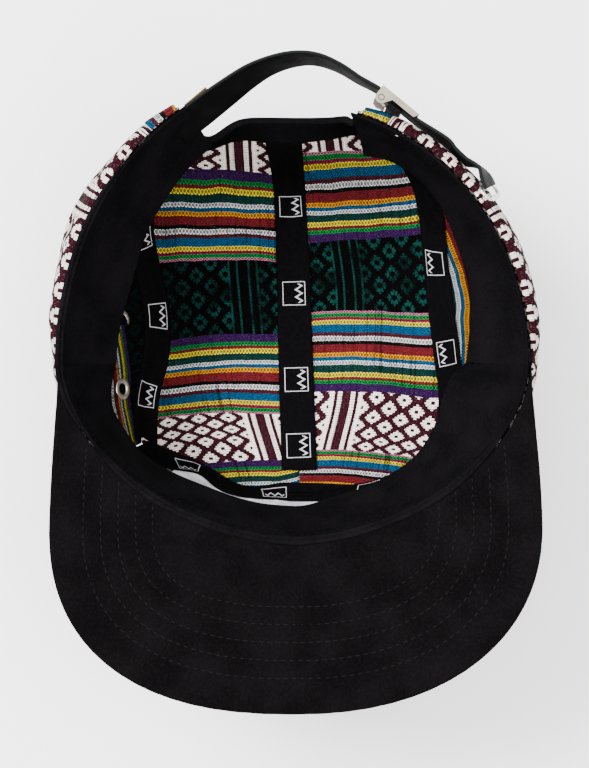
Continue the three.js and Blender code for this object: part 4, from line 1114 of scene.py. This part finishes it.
# Where the front tape's upper and lower edge are seen, in the photo's pixels. The band
# hides the foot left of x 172 and right of x 332, so its ends there are guesses.
FRONT_TAPE_TOP = [(152, 443), (172, 452), (187, 456), (201, 463), (210, 467), (224, 476), (239, 487),
                  (261, 486), (282, 482), (318, 483), (356, 485), (388, 479)]
FRONT_TAPE_FOOT = [(150, 464), (172, 471), (187, 470), (199, 473), (207, 479), (213, 487), (218, 490),
                   (235, 497), (249, 498), (290, 501), (332, 501), (375, 495), (395, 486)]
FRONT_TAPE_LIFT = 1.45


def seen_distance(side, edge, furthest):
    """How far from the seam an edge lies, so that the camera sees it where it is listed."""
    x, y = np.array(edge, float).T
    distances, misses = np.linspace(0, furthest, 81), []
    for distance in distances:
        point, normal = side(distance)
        pixel = pixel_of(point - normal * FRONT_TAPE_LIFT)
        misses.append(np.abs(pixel[..., 1] - np.interp(pixel[..., 0], x, y)))
    found = distances[np.argmin(misses, axis=0)]
    return np.convolve(np.pad(found, 2, mode="edge"), np.ones(5) / 5, mode="valid")


def front_tape():
    """The tape over the front seam, between the two edges that the photo shows."""
    across = border_shares(80, 130, 0.4) * 1.97 - 0.985
    low, front_u = PATCH["front"], (across + 1) / 2

    def on_top(w):
        """Points of the two top panels at distances from the front seam."""
        u = np.abs(across)
        places = [on_patch(PATCH[key], u, share_of(PATCH[key], u, 0, False, w))
                  for key in ("top_left", "top_right")]
        return tuple(np.where((across < 0)[:, None], a, b) for a, b in zip(*places))

    def on_front(w):
        """Points of the front panel at distances from the front seam."""
        return on_patch(low, front_u, 1 - share_of(low, front_u, 1, False, w))

    upper = -seen_distance(on_top, FRONT_TAPE_TOP, 10)
    lower = seen_distance(on_front, FRONT_TAPE_FOOT, 20)
    grid = tape_grid(on_top, on_front,
                     shift=(upper + lower) / 2, stretch=(lower - upper) / 2 / TAPE_HALF)
    return surface_tape("front_tape_cloth", *grid, TAPE, "front_tape", MARKS["front"], seed=9,
                        lift=FRONT_TAPE_LIFT)


TAPE_PATHS = [centre_tape(), side_tape(-1), side_tape(1), front_tape()]

# %% [markdown]
# The cut-out's raw edge is bound with the same tape. Its stations walk up the left side
# panel, over both top panels and down the right one, and each runs inwards over the
# cloth for twelve millimetres.

# %% Binding of the cut-out
BINDING_WIDTH = 12.5


def arch_binding():
    """The binding, from its free edge inside to just round the cloth's edge."""
    width = border_shares(10, BINDING_WIDTH, 0.4) * BINDING_WIDTH
    over = np.linspace(-2.2, -0.3, 6)

    def stations(patch, places, along_u):
        fixed = np.asarray(places)
        edge = (lambda share: (1 - share, fixed)) if along_u else (lambda share: (fixed, 1 - share))
        rim, rim_normal = on_patch(patch, *edge(0 * fixed))
        inside = on_patch(patch, *edge(share_of(patch, *edge(0 * fixed), along_u, 1.0)))[0]
        inwards = unit(inside - rim)
        points, normals = [], []
        for w in over:
            turn = smooth((w + 0.3) / 0.6 + 0.5)
            points.append(rim + rim_normal * (-w - 0.3))
            normals.append(inwards + 0 * turn)
        for w in width:
            point, normal = on_patch(patch, *edge(share_of(patch, *edge(0 * fixed), along_u, w)))
            points.append(point)
            normals.append(normal + inwards * max(0.0, 1 - w / 0.5))
        return np.stack(points, 1), np.stack(normals, 1)

    runs = [stations(PATCH["side_left"], np.linspace(0.3, 0.97, 10), True),
            stations(PATCH["top_left"], np.linspace(0.96, 0.0, 30), False),
            stations(PATCH["top_right"], np.linspace(0.03, 0.96, 30), False),
            stations(PATCH["side_right"], np.linspace(0.97, 0.3, 10), True)]
    points, normals = (np.concatenate([run[i] for run in runs]) for i in range(2))
    widths = np.concatenate([over, width])
    return surface_tape("cut_out_binding", points, normals, widths, BINDING, "arch_binding", wrinkle=0.06)


BINDING_PATH = arch_binding()

# %% [markdown]
# A pale pressed backing stiffens the front panel. Only its crumpled edge shows, between
# the front tape and the sweatband, so its folds are sharp, and its colour is uneven with
# painted shade of the crumples.


# %% Backing of the front panel
def front_backing():
    """A thin sheet inside the front panel, creased by ridges of folded waves."""
    u, v = np.meshgrid(border_shares(90, 120, 0.4) * 0.83 + 0.115, border_shares(50, 80, 0.4) * 0.86 + 0.12)
    base, normal = on_patch(PATCH["front"], u, v)
    crease = np.abs(waves(u * 130, v * 80, 22, 61)) + 0.5 * np.abs(waves(u * 130, v * 80, 9, 62))
    depth = 0.45 + 0.5 * crease * smooth((0.97 - v) * 20) + 1.0 * smooth((0.86 - v) * 12)
    middle = base - normal * depth[..., None]
    piece = cloth_wall("front_backing_sheet", middle, 0.6, np.stack([u * 130, v * 80], -1), normals=normal)
    return link(piece, BACKING, replaced=["front_backing"])


front_backing()

# %% [markdown]
# The sweatband is a folded strip of twill. It is sewn to the rim and leans into the cap,
# more on the right, where it has slumped. Its lean and its depth by angle are a short
# table, and a slow wave along its free edge keeps it from looking turned on a lathe.

# %% Sweatband
# Rows of angle, lean and depth. The lean follows what a scratch program found from a line
# drawn along the band's free edge in the photo, as it does in the CAD source.
SWEATBAND = np.array([
    (-151, 15.5, 28), (-135, 17.5, 31), (-115, 19.5, 32), (-95, 19.5, 32), (-83, 18.5, 33),
    (-65, 9.5, 33), (-50, 8.5, 33), (-25, 9.8, 33), (0, 10.5, 33), (20, 11, 33), (42, 15, 33),
    (54, 20, 33), (66, 25.5, 33), (76, 25.5, 33), (95, 20, 32), (115, 14.5, 32), (135, 8.5, 31),
    (147, 6, 30), (156, 9, 29), (164.7, 13, 28)])


def table_value(column, angle):
    """A value between the table's rows, averaged over a few degrees to round its corners."""
    return sum(np.interp(angle + shift, SWEATBAND[:, 0], SWEATBAND[:, column])
               for shift in (-5, -2.5, 0, 2.5, 5)) / 5


def lip(angle):
    """How far the band's upper edge leans outwards, in millimetres."""
    return twill_edge(angle) + 0.6


def band_point(angle, down, inside):
    """A point of the band: from the rim down, leaning in with the 1.25 power."""
    wave = waves(angle * 1.5, 0 * angle, 42, 71) * 0.9 + waves(angle * 1.5, 0 * angle, 17, 72) * 0.25
    lean = table_value(1, angle) + wave * down
    edge = lip(angle)
    inwards = 0.6 + inside + lean * np.maximum(down, 0) ** 1.25 + np.maximum(-edge, 0)
    inwards = inwards - np.maximum(edge, 0) * smooth(-down / 0.09)
    point = rim_point(angle) - rim_outward(angle) * inwards[..., None]
    drop = table_value(2, angle) * np.maximum(down, 0) - 0.35 - 0.55 * smooth(-down / 0.05)
    return point - np.stack([0 * drop, 0 * drop, drop], -1)


def sweatband():
    """The band as one wall: angle round the rim, and share of its depth."""
    share, down = np.meshgrid(border_shares(300, 560, 0.65), border_shares(34, 36, 0.65) * 1.09 - 0.09)
    below = np.maximum(down, 0)
    left, right = -LEFT_END - 1.2 - 0.6 * below, RIGHT_END + 1.4 - 6.6 * below
    angle = left + (right - left) * share
    middle = band_point(angle, down, 0.65 + 0 * down)
    cloth = np.stack([angle * 1.55, down * 34], -1)
    piece = cloth_wall("sweatband_twill", middle, 1.3, cloth)
    link(piece, TWILL, replaced=["sweatband"])
    return middle


sweatband()

# %% [markdown]
# The brim is a stiff board in a cotton cover. Rows of stitching quilt it, one inside the
# other, each a shallow groove with the thread at its bottom. The rows are the outline
# moved inwards, so the groove's depth is a function of the distance from the edge.

# %% Brim
STITCH_ROWS = [12.5, 19.0, 25.5, 32.0, 38.5]
CURVE_SHARE = 0.76


def brim_outline(across):
    """Straight sides, then a superellipse in front, from -1 at the left to 1."""
    side = np.where(across < 0, -1.0, 1.0)
    share = np.abs(across)
    back = np.clip((share - CURVE_SHARE) / (1 - CURVE_SHARE), 0, 1)
    angle = np.minimum(share / CURVE_SHARE, 1) * math.pi / 2
    half_width = np.where(across < 0, BRIM["left"][0], BRIM["right"][0])
    exponent = 2 / np.where(across < 0, BRIM["left"][1], BRIM["right"][1])
    corner = RIM["half_width"] + 0.2
    straight_x = half_width + (corner - half_width) * back ** 2
    x = np.where(back > 0, straight_x, half_width * np.sin(angle) ** exponent)
    straight_y = BRIM["side_end"] + (BRIM["corner_y"] - BRIM["side_end"]) * back
    curved_y = BRIM["side_end"] - BRIM["reach"] * np.maximum(np.cos(angle), 0) ** exponent
    return np.stack([side * x, np.where(back > 0, straight_y, curved_y)], -1)


def brim_surface(xy):
    """Lifts plan points to the bent board's visible face."""
    height = np.maximum(brim_height(xy[..., 0], xy[..., 1]), 0) * smooth(-xy[..., 1] / 12)
    return np.concatenate([xy, height[..., None] + 0.4], -1)


OUTLINE = brim_outline(np.sign(np.linspace(-1, 1, 1201)) * np.abs(np.linspace(-1, 1, 1201)) ** 1.0)


def edge_distance(xy):
    """The distance in plan from each point to the brim's outline."""
    flat = xy.reshape(-1, 2)
    found = [np.sqrt(((part[:, None, :] - OUTLINE[None]) ** 2).sum(-1)).min(1)
             for part in np.array_split(flat, max(1, len(flat) // 2000))]
    return np.concatenate(found).reshape(xy.shape[:-1])


def brim():
    """The brim: each point lies between the rim and the outline, by its share outwards."""
    across, out = np.meshgrid(border_shares(230, 400, 1.5) * 2 - 1, border_shares(90, 66, 1.5))
    inner = rim_point(across * BRIM_CORNER)[..., :2]
    xy = inner + (brim_outline(across) - inner) * out[..., None]
    top = brim_surface(xy)
    distance = edge_distance(xy)
    seam = np.linalg.norm(xy - inner, axis=-1)
    groove = sum(0.22 * np.exp(-((distance - row) / 0.55) ** 2) for row in STITCH_ROWS)
    puff = 0.1 * waves(xy[..., 0], xy[..., 1], 16, 81) * smooth(distance / 6) * smooth(seam / 6)
    edge = 1.5 * (1 - np.sqrt(1 - (1 - np.clip(distance / 1.5, 0, 1)) ** 2))
    groove = groove * smooth(seam / 4)
    x, y = xy[..., 0], xy[..., 1]
    slope = brim_surface(np.stack([x, y - 0.5], -1)) - brim_surface(np.stack([x, y + 0.5], -1))
    normal = unit(np.stack([0 * x, 0.9 * slope[..., 2], 1 + 0 * x], -1))
    face = top - normal * (groove - puff + edge)[..., None]
    back = top - normal * (BRIM["thickness"] - groove + puff - edge)[..., None]
    piece = wall("brim_board", face, back, xy)
    return link(piece, BRIM_COTTON, replaced=["brim"])


brim()

# %% [markdown]
# The strap is one long band of leather. Its two edges are splines through measured
# places, then it runs straight through the buckle, lies along the right side panel and
# goes over the slot ring's bar into its slot. Its section is a flat box with painted,
# rounded edges and a slightly crowned face.

# %% Strap
STRAP_EDGES = np.array([
    (-48, 102.5, -3, -42.5, 94.5, -17), (-42.6, 106.8, -2, -37, 98.9, -16),
    (-37, 110.8, -0.5, -31.5, 103, -14),
    (-28, 116.8, 1, -23.2, 109.8, -13.3), (-18.7, 122.3, 2, -15.3, 116.4, -13.5),
    (-9.6, 125.8, 2, -7.9, 121.3, -14), (0, 127.6, 2, 0.3, 124.2, -14.3),
    (9, 126.8, 1.8, 8, 124.8, -14.6), (17.5, 123.2, 1, 16.6, 122.4, -15.4),
    (25.4, 118, 0.3, 25, 117.8, -16.2)])
STRAP_THICKNESS, STRAP_HALF, STRAP_DEPTH = 1.6, 8.2, 8.2
TAIL = [(144.5, 1.3, 1), (141.5, 0.6, 1), (138.5, 0.6, 1), (136, 1.2, 0.85), (134.4, 2.2, 0.5),
        (132.6, 2.8, 0.1), (131.2, 2.6, 0), (129.9, 2.0, 0)]
STRAP_LEAN = -1.3
PIN = np.array([33.4, 110.2])
LEVER_TURN, LEVER_Z = math.radians(-39.3), -8.2


def lever_point(s, d, z):
    """A place by its run along the lever's arm, its height off the pin and z."""
    x = PIN[0] + s * math.cos(LEVER_TURN) - d * math.sin(LEVER_TURN)
    return np.array([x, PIN[1] + s * math.sin(LEVER_TURN) + d * math.cos(LEVER_TURN), z])


def outside_right(angle, depth, stand):
    """A place outside the right side panel's rolled cloth, by angle and depth."""
    u = (angle - FRONT_CORNER) / (RIGHT_END - FRONT_CORNER) + np.zeros((400, 1))
    base, normal = on_patch(PATCH["side_right"], u, np.linspace(0, 0.5, 400)[:, None])
    column = rolled(1, u, base + normal * 0.6)[:, 0]
    row = np.argmin(abs(column[:, 2] + depth))
    return column[row] + normal[row, 0] * (0.6 + stand)


def strap_edges():
    """The strap's two edges as rows of near and far points, from its left end on."""
    free = spline(STRAP_EDGES, np.linspace(0, 1, 27))
    middle = 1 + 0.35 + 0.15 + STRAP_THICKNESS / 2
    in_buckle = [np.concatenate([lever_point(s, middle, LEVER_Z + STRAP_HALF),
                                 lever_point(s, middle, LEVER_Z - STRAP_HALF)])
                 for s in np.linspace(-3.5, 16.2, 5)]
    tail = []
    for angle, stand, upright in TAIL:
        lying = outside_right(angle, STRAP_DEPTH - STRAP_HALF + 0.8, stand + 0.8)
        far = outside_right(angle, STRAP_DEPTH + STRAP_HALF, stand + 0.8)
        raised = far - rim_outward(angle) * STRAP_LEAN
        raised[2] = STRAP_HALF - STRAP_DEPTH - 0.8
        tail.append(np.concatenate([lying + (raised - lying) * upright, far]))
    return np.array([*free, *in_buckle, *tail])


def band_of_leather(name, edges, thickness, crown, material, replaced, lift=0.0):
    """A closed tube of a flat rounded section along two edges, with capped ends."""
    near, far = edges[:, :3], edges[:, 3:]
    along = unit(np.gradient((near + far) / 2, axis=0))
    across = unit(far - near)
    out = unit(np.cross(along, across))
    half_width = np.linalg.norm(far - near, axis=-1) / 2
    turn = np.linspace(0, 2 * math.pi, 49)[:-1]
    cosine, sine = np.cos(turn), np.sin(turn)
    w = np.sign(cosine) * np.abs(cosine) ** 0.16
    t = np.sign(sine) * np.abs(sine) ** 0.5 * thickness / 2
    t = t * (1 + crown * (1 - w * w))
    inset = 0.02 * thickness
    centre = (near + far) / 2 + out * np.reshape(lift, (-1, 1))
    ring = (centre[:, None] + across[:, None] * (w[None, :, None] * (half_width - inset)[:, None, None])
            + out[:, None] * t[None, :, None])
    rows, columns = ring.shape[:2]
    index = np.arange(rows * columns).reshape(rows, columns)
    after = np.roll(index, -1, axis=1)
    sides = np.stack([index[:-1], index[1:], after[1:], after[:-1]], -1).reshape(-1, 4)
    order = np.arange(columns // 2 - 1)
    caps = []
    for row, flip in ((0, False), (rows - 1, True)):
        cap = np.stack([index[row, order], index[row, order + 1],
                        index[row, columns - 2 - order], index[row, columns - 1 - order]], -1)
        caps.append(cap[:, ::-1] if flip else cap)
    quads = np.concatenate([sides, *caps])
    points = ring.reshape(-1, 3)
    a, b, c, d = (points[quads[:, i]] for i in range(4))
    if np.sum(a * np.cross(b, c)) + np.sum(a * np.cross(c, d)) < 0:
        quads = quads[:, ::-1]
    run = np.concatenate([[0], np.cumsum(np.linalg.norm(np.diff(centre, axis=0), axis=-1))])
    cloth = np.stack([run[:, None] + 0 * w, w[None, :] + 0 * run[:, None]], -1).reshape(-1, 2)
    piece = make_mesh(name, points, quads, cloth)
    print(name, "is", round(float(run[-1])), "mm long")
    return link(piece, material, replaced=replaced)


STRAP = spline(strap_edges(), np.linspace(0, 1, 260))
band_of_leather("strap_leather", STRAP, STRAP_THICKNESS, 0.12, LEATHER, ["strap"])


def strap_tab():
    """The brown end on the strap's outer side, standing off it a little at its tip."""
    part = spline(strap_edges()[3:8], np.linspace(0, 1, 24))
    near, far = part[:, :3], part[:, 3:]
    edges = np.concatenate([near + (far - near) * 0.06, far + (near - far) * 0.06], 1)
    lift = (STRAP_THICKNESS + 1) / 2 + 0.4 + 0.8 * np.linspace(0, 1, 24) ** 2
    band_of_leather("strap_end_leather", edges, 0.9, 0.05, BROWN, ["strap_tab"], lift)


strap_tab()

# %% [markdown]
# The buckle's own solids are right, so they only need broken edges and a real finish.
# A copy of each is merged and bevelled, and stands for the node it came from.


# %% Metal pieces
def refined(node, name, material, width, body="cap", segments=2):
    """A merged copy of a solid with rounded edges, standing for its node."""
    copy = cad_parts[node].copy()
    copy.data = copy.data.copy()
    copy.name = name
    for key in list(copy.keys()):
        del copy[key]
    copy.parent = None
    bpy.context.scene.collection.objects.link(copy)
    copy.data.materials.clear()
    copy.data.materials.append(material)
    weld = copy.modifiers.new("merge", "WELD")
    weld.merge_threshold = 1e-6
    bevel = copy.modifiers.new("edges", "BEVEL")
    bevel.width, bevel.segments, bevel.limit_method = width, segments, "ANGLE"
    bevel.angle_limit = math.radians(35)
    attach(copy, body)
    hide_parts(node)
    return copy


refined("buckle_lever", "lever_metal", NICKEL, 0.00018, "buckle_lever")
refined("buckle_frame", "frame_metal", NICKEL, 0.00012)
refined("buckle_tab", "tab_leather", LEATHER, 0.0003)
refined("tuck_grommet", "slot_ring_metal", EYELET_METAL, 0.0002)

# %% [markdown]
# A vent eyelet is a short tube rolled over on both sides of the cloth. Its section is a
# closed curve turned about its axis: here the roll is a half circle on each flange.

# %% Vent eyelets


def eyelet(node, key, u, v):
    """A ring turned about the panel's normal: bore, barrel and two rolled flanges."""
    bore, barrel, flange, roll = 2.2, 2.9, 4.4, 0.5
    low, high = -0.45, 1.75
    arc = np.radians(np.linspace(-90, 90, 7))
    upper = np.stack([flange - roll + roll * np.cos(arc), high + roll * 0.8 * np.sin(arc)], -1)
    lower = np.stack([flange - roll + roll * np.cos(arc), low + roll * 0.8 * np.sin(arc)], -1)
    profile = np.concatenate([
        [(bore, low + 0.4), (bore + 0.25, low - 0.15), (bore + 0.8, low - 0.38)], lower,
        [(barrel, low + 0.42), (barrel, high - 0.42)], upper,
        [(bore + 0.8, high + 0.38), (bore + 0.25, high + 0.15), (bore, high - 0.4)]])
    turn = np.linspace(0, 2 * math.pi, 49)[:-1]
    point, normal = on_patch(PATCH[key], np.array(u), np.array(v))
    up = unit(np.array([0, 0, 1]) - normal * normal[2])
    side = np.cross(up, normal)
    spin = np.cos(turn)[:, None] * side + np.sin(turn)[:, None] * up
    points = point + profile[None, :, :1] * spin[:, None] + profile[None, :, 1:] * normal
    rows, columns = points.shape[:2]
    index = np.arange(rows * columns).reshape(rows, columns)
    next_row, next_column = np.roll(index, -1, axis=0), np.roll(index, -1, axis=1)
    both = np.roll(next_row, -1, axis=1)
    quads = np.stack([index, next_row, both, next_column], -1).reshape(-1, 4)
    flat = points.reshape(-1, 3)
    a, b, c, d = (flat[quads[:, i]] for i in range(4))
    if np.sum((a - point) * np.cross(b - point, c - point)) < 0:
        quads = quads[:, ::-1]
    link(make_mesh(node + "_ring", flat, quads), EYELET_METAL, replaced=[node])


for place in EYELETS:
    eyelet(*place)

# %% [markdown]
# Stitches are what makes a sewn thing look sewn. One stitch is a short bead of thread
# with blunt ends. It is laid along a path again and again, all in one array, so a row
# of hundreds costs one mesh.


# %% Stitches
def stitch_template(length, radius, sides=6, rings=5):
    """A bead along x: its radius follows half an ellipse and its height a low arch."""
    x = np.linspace(-1, 1, rings)
    swell = np.sqrt(np.clip(1.08 - x ** 4, 0, 1)) * radius
    turn = np.linspace(0, 2 * math.pi, sides, endpoint=False)
    ring = np.stack([0 * turn[None] + x[:, None] * length / 2,
                     swell[:, None] * np.cos(turn), swell[:, None] * np.sin(turn) * 0.8
                     - (x[:, None] ** 2) * radius * 0.9], -1)
    index = np.arange(rings * sides).reshape(rings, sides)
    after = np.roll(index, -1, axis=1)
    quads = np.stack([index[:-1], after[:-1], after[1:], index[1:]], -1).reshape(-1, 4)
    ends = [[index[0, i] for i in (5, 4, 1, 0)], [index[0, i] for i in (4, 3, 2, 1)],
            [index[-1, i] for i in (0, 1, 4, 5)], [index[-1, i] for i in (1, 2, 3, 4)]]
    return ring.reshape(-1, 3), np.concatenate([quads, ends])


def resample(points, normals, spacing):
    """Evenly spaced places on a path, with their directions and normals."""
    run = np.concatenate([[0], np.cumsum(np.linalg.norm(np.diff(points, axis=0), axis=-1))])
    places = np.arange(spacing * 0.5, run[-1], spacing)
    pick = lambda values: np.stack([np.interp(places, run, values[:, i]) for i in range(3)], -1)
    ahead = lambda shift: np.stack([np.interp(places + shift, run, points[:, i]) for i in range(3)], -1)
    return pick(points), unit(ahead(0.4) - ahead(-0.4)), unit(pick(normals))


def stitches(name, paths, material, length=2.2, spacing=3.0, radius=0.26):
    """Rows of stitches on paths that each give points and the normals they lie on."""
    template, quads = stitch_template(length, radius)
    points, faces = [], []
    for path, normals in paths:
        if len(path) < 2:
            continue
        place, along, up = resample(np.asarray(path), np.asarray(normals), spacing)
        side = unit(np.cross(up, along))
        up = np.cross(along, side)
        axes = np.stack([along, side, up], 1)
        moved = place[:, None] + np.einsum("vk,nkj->nvj", template, axes)
        start = sum(len(part) for part in points)
        offset = (np.arange(len(place)) * len(template))[:, None, None] + start
        points.append(moved.reshape(-1, 3))
        faces.append((quads[None] + offset).reshape(-1, 4))
    piece = make_mesh(name, np.concatenate(points), np.concatenate(faces))
    print(name, sum(len(f) for f in faces) // len(quads), "stitches")
    return link(piece, material)


def brim_rows():
    """The brim's quilting rows on both faces: the outline moved inwards in plan."""
    tangent = unit(np.gradient(OUTLINE, axis=0))
    inward = np.stack([-tangent[:, 1], tangent[:, 0]], -1)
    middle = np.array([0.0, -60.0])
    inward = np.where(np.sum(inward * (middle - OUTLINE), -1, keepdims=True) < 0, -inward, inward)
    paths = []
    rim = rim_point(np.linspace(-BRIM_CORNER, BRIM_CORNER, 400))[:, :2]
    for row in STITCH_ROWS:
        xy = OUTLINE + inward * row
        true_row = edge_distance(xy) > row - 0.3
        to_rim = np.sqrt(((xy[:, None] - rim[None]) ** 2).sum(-1)).min(1)
        centre = np.array([0, RIM["centre_y"]])
        outside = np.linalg.norm(xy - centre, axis=-1) > np.linalg.norm(
            rim[np.argmin(((xy[:, None] - rim[None]) ** 2).sum(-1), axis=1)] - centre, axis=-1)
        kept = xy[true_row & outside & (to_rim > 1.5) & (xy[:, 1] < -12)]
        face = brim_surface(kept)
        up = np.tile([0.0, 0.33, 0.94], (len(kept), 1))
        paths.append((face - up * 0.16, up))
        paths.append((face - up * (BRIM["thickness"] - 0.16), -up))
    return paths


stitches("brim_stitching", brim_rows(), GREY_THREAD, 2.3, 3.1, 0.24)


def tape_rows():
    """A row inside each edge of every tape, and one inside the binding's inner edge."""
    paths = []
    for middle, normals, _ in TAPE_PATHS:
        for column in (2, -3):
            line = middle[6:-6, column] - normals[6:-6, column] * (TAPE_THICKNESS / 2 + 0.02)
            paths.append((line, -normals[6:-6, column]))
    middle, normals, _ = BINDING_PATH
    line = middle[:, -8] - normals[:, -8] * (TAPE_THICKNESS / 2 + 0.02)
    paths.append((line, -normals[:, -8]))
    return paths


stitches("tape_stitching", tape_rows(), BLACK_THREAD, 1.9, 2.6, 0.2)


def band_rows():
    """Two rows along the sweatband, three and eight and a half millimetres in."""
    angle = np.linspace(-LEFT_END + 3, RIGHT_END - 3, 600)
    paths = []
    for depth in (3.0, 8.5):
        down = depth / 36 + 0 * angle
        point = band_point(angle, down, 1.33 + 0 * down)
        lower = band_point(angle, down + 0.03, 1.33 + 0 * down)
        along = np.gradient(point, axis=0)
        normal = unit(np.cross(along, lower - point))
        inward = np.sum(normal * (point - MIDDLE), -1, keepdims=True) > 0
        paths.append((point, np.where(inward, -normal, normal)))
    return paths


stitches("band_stitching", band_rows(), BLACK_THREAD, 2.0, 2.8, 0.22)


def outside_rows():
    """Twin rows on the outside of the crown, beside each seam."""
    paths = []
    share = np.linspace(0.02, 0.98, 200)
    offset = 5.2

    def share_at(patch, u, v, along_u):
        return share_of(patch, u, v, along_u, offset)

    for side, word in ((-1, "left"), (1, "right")):
        low, top, front = PATCH["side_" + word], PATCH["top_" + word], PATCH["front"]
        edge = 0 if side < 0 else 1
        step = 1 if side < 0 else -1
        rows = [(low, share, 1 - share_at(low, share, 1, False)),
                (top, 1 - share_at(top, 1, share, True), share),
                (top, share_at(top, 0, share, True), share),
                (low, share_at(low, 0, share, True), share),
                (top, share, share_at(top, share, 0, False)),
                (front, edge + step * share_at(front, edge, share, True), share)]
        for patch, u, v in rows:
            point, normal = on_patch(patch, u, v)
            paths.append((point + normal * (CLOTH_THICKNESS + 0.14), normal))
    front = PATCH["front"]
    v = 1 - share_at(front, share, 1, False)
    point, normal = on_patch(front, share, v)
    paths.append((point + normal * (CLOTH_THICKNESS + 0.14), normal))
    return paths


stitches("crown_stitching", outside_rows(), thread_material("maroon_thread", srgb("3c1522")), 2.2, 3.0, 0.24)

# %% [markdown]
# Two loose threads: a gold curl on the right top panel and a small white loop at the right
# end of the sweatband.


# %% Loose threads
def thread(places, radius, samples=60):
    """A fine tube along a spline, closed at both ends by its own taper."""
    line = spline(places, np.linspace(0, 1, samples))
    along = unit(np.gradient(line, axis=0))
    side = unit(np.cross(along, np.array([0.3, 0.2, 1.0])))
    up = np.cross(along, side)
    size = radius * np.sqrt(np.clip(1.02 - np.abs(np.linspace(-1, 1, samples)) ** 12, 0, 1))
    turn = np.linspace(0, 2 * math.pi, 6, endpoint=False)
    ring = line[:, None] + size[:, None, None] * (np.cos(turn)[None, :, None] * side[:, None]
                                                  + np.sin(turn)[None, :, None] * up[:, None])
    index = np.arange(samples * 6).reshape(samples, 6)
    after = np.roll(index, -1, axis=1)
    quads = np.stack([index[:-1], index[1:], after[1:], after[:-1]], -1).reshape(-1, 4)
    ends = [[index[0, i] for i in (0, 1, 4, 5)], [index[0, i] for i in (1, 2, 3, 4)],
            [index[-1, i] for i in (5, 4, 1, 0)], [index[-1, i] for i in (4, 3, 2, 1)]]
    return ring.reshape(-1, 3), np.concatenate([quads, ends])


def thread_piece(name, strands, material):
    """Joins several strands into one piece."""
    points, faces = [], []
    for places, radius in strands:
        flat, quads = thread(places, radius)
        faces.append(quads + sum(len(part) for part in points))
        points.append(flat)
    return link(make_mesh(name, np.concatenate(points), np.concatenate(faces)), material)


def from_photo(x, y, z):
    """The cap's x and y where a pixel of the 589 by 768 photo meets the height z."""
    scale = (CAMERA_DISTANCE - z) / (CAMERA_DISTANCE * PIXELS_PER_MM)
    return ((x - PHOTO_WIDTH / 2) * scale, (PHOTO_HEIGHT / 2 - y) * scale, z)


GOLD_CURL = [(314, 185, -97), (315, 178, -96), (321, 173, -95), (329, 172, -95), (334, 177, -95.5),
             (337, 182, -96), (342, 185, -97), (346, 186, -98)]
thread_piece("gold_loose_thread", [([from_photo(*place) for place in GOLD_CURL], 0.17)], GOLD_THREAD)
WHITE_LOOP = [(394, 131, -2.2), (395, 134, -1.6), (398, 136, -1.5), (402, 135, -1.8), (404, 132, -2.4)]
thread_piece("white_loose_thread", [([from_photo(*place) for place in WHITE_LOOP], 0.2)], WHITE_THREAD)

# %% [markdown]
# A plain pale floor and two large soft lights are enough. The main one is a wide panel
# above and a little towards the brim, and the pale surroundings fill the shadows.

# %% Floor and light
FLOOR_SIZE = 6.0
floor_mesh = bpy.data.meshes.new("floor")
corner = FLOOR_SIZE / 2
floor_mesh.from_pydata([(-corner, -corner, 0), (corner, -corner, 0), (corner, corner, 0),
                        (-corner, corner, 0)], [], [(0, 1, 2, 3)])
floor = bpy.data.objects.new("floor", floor_mesh)
floor_material, floor_tree, floor_shader = start_material("pale_floor")
finish_material(floor_tree, floor_shader, (0.9, 0.9, 0.9), Roughness=0.8)
floor_mesh.materials.append(floor_material)
bpy.context.scene.collection.objects.link(floor)


def soft_light(name, place, aim, size, power):
    """A square area light at a place, turned towards another."""
    data = bpy.data.lights.new(name, "AREA")
    data.shape, data.size, data.energy = "SQUARE", size, power
    light = bpy.data.objects.new(name, data)
    direction = np.array(aim, float) - np.array(place, float)
    pitch = math.atan2(math.hypot(direction[0], direction[1]), -direction[2])
    light.location = place
    light.rotation_euler = (pitch, 0, math.atan2(direction[0], -direction[1]) + math.pi)
    bpy.context.scene.collection.objects.link(light)


soft_light("key_light", (-1.0, 0.3, 1.6), (0, 0, 0.06), 0.9, 95)
soft_light("front_light", (0.3, -0.6, 1.9), (0, 0, 0.06), 1.4, 70)
WORLD_STRENGTH = 1.6
world = bpy.data.worlds.new("studio")
world.use_nodes = True
world.node_tree.nodes["Background"].inputs["Color"].default_value = (1, 1, 1, 1)
world.node_tree.nodes["Background"].inputs["Strength"].default_value = WORLD_STRENGTH
bpy.context.scene.world = world
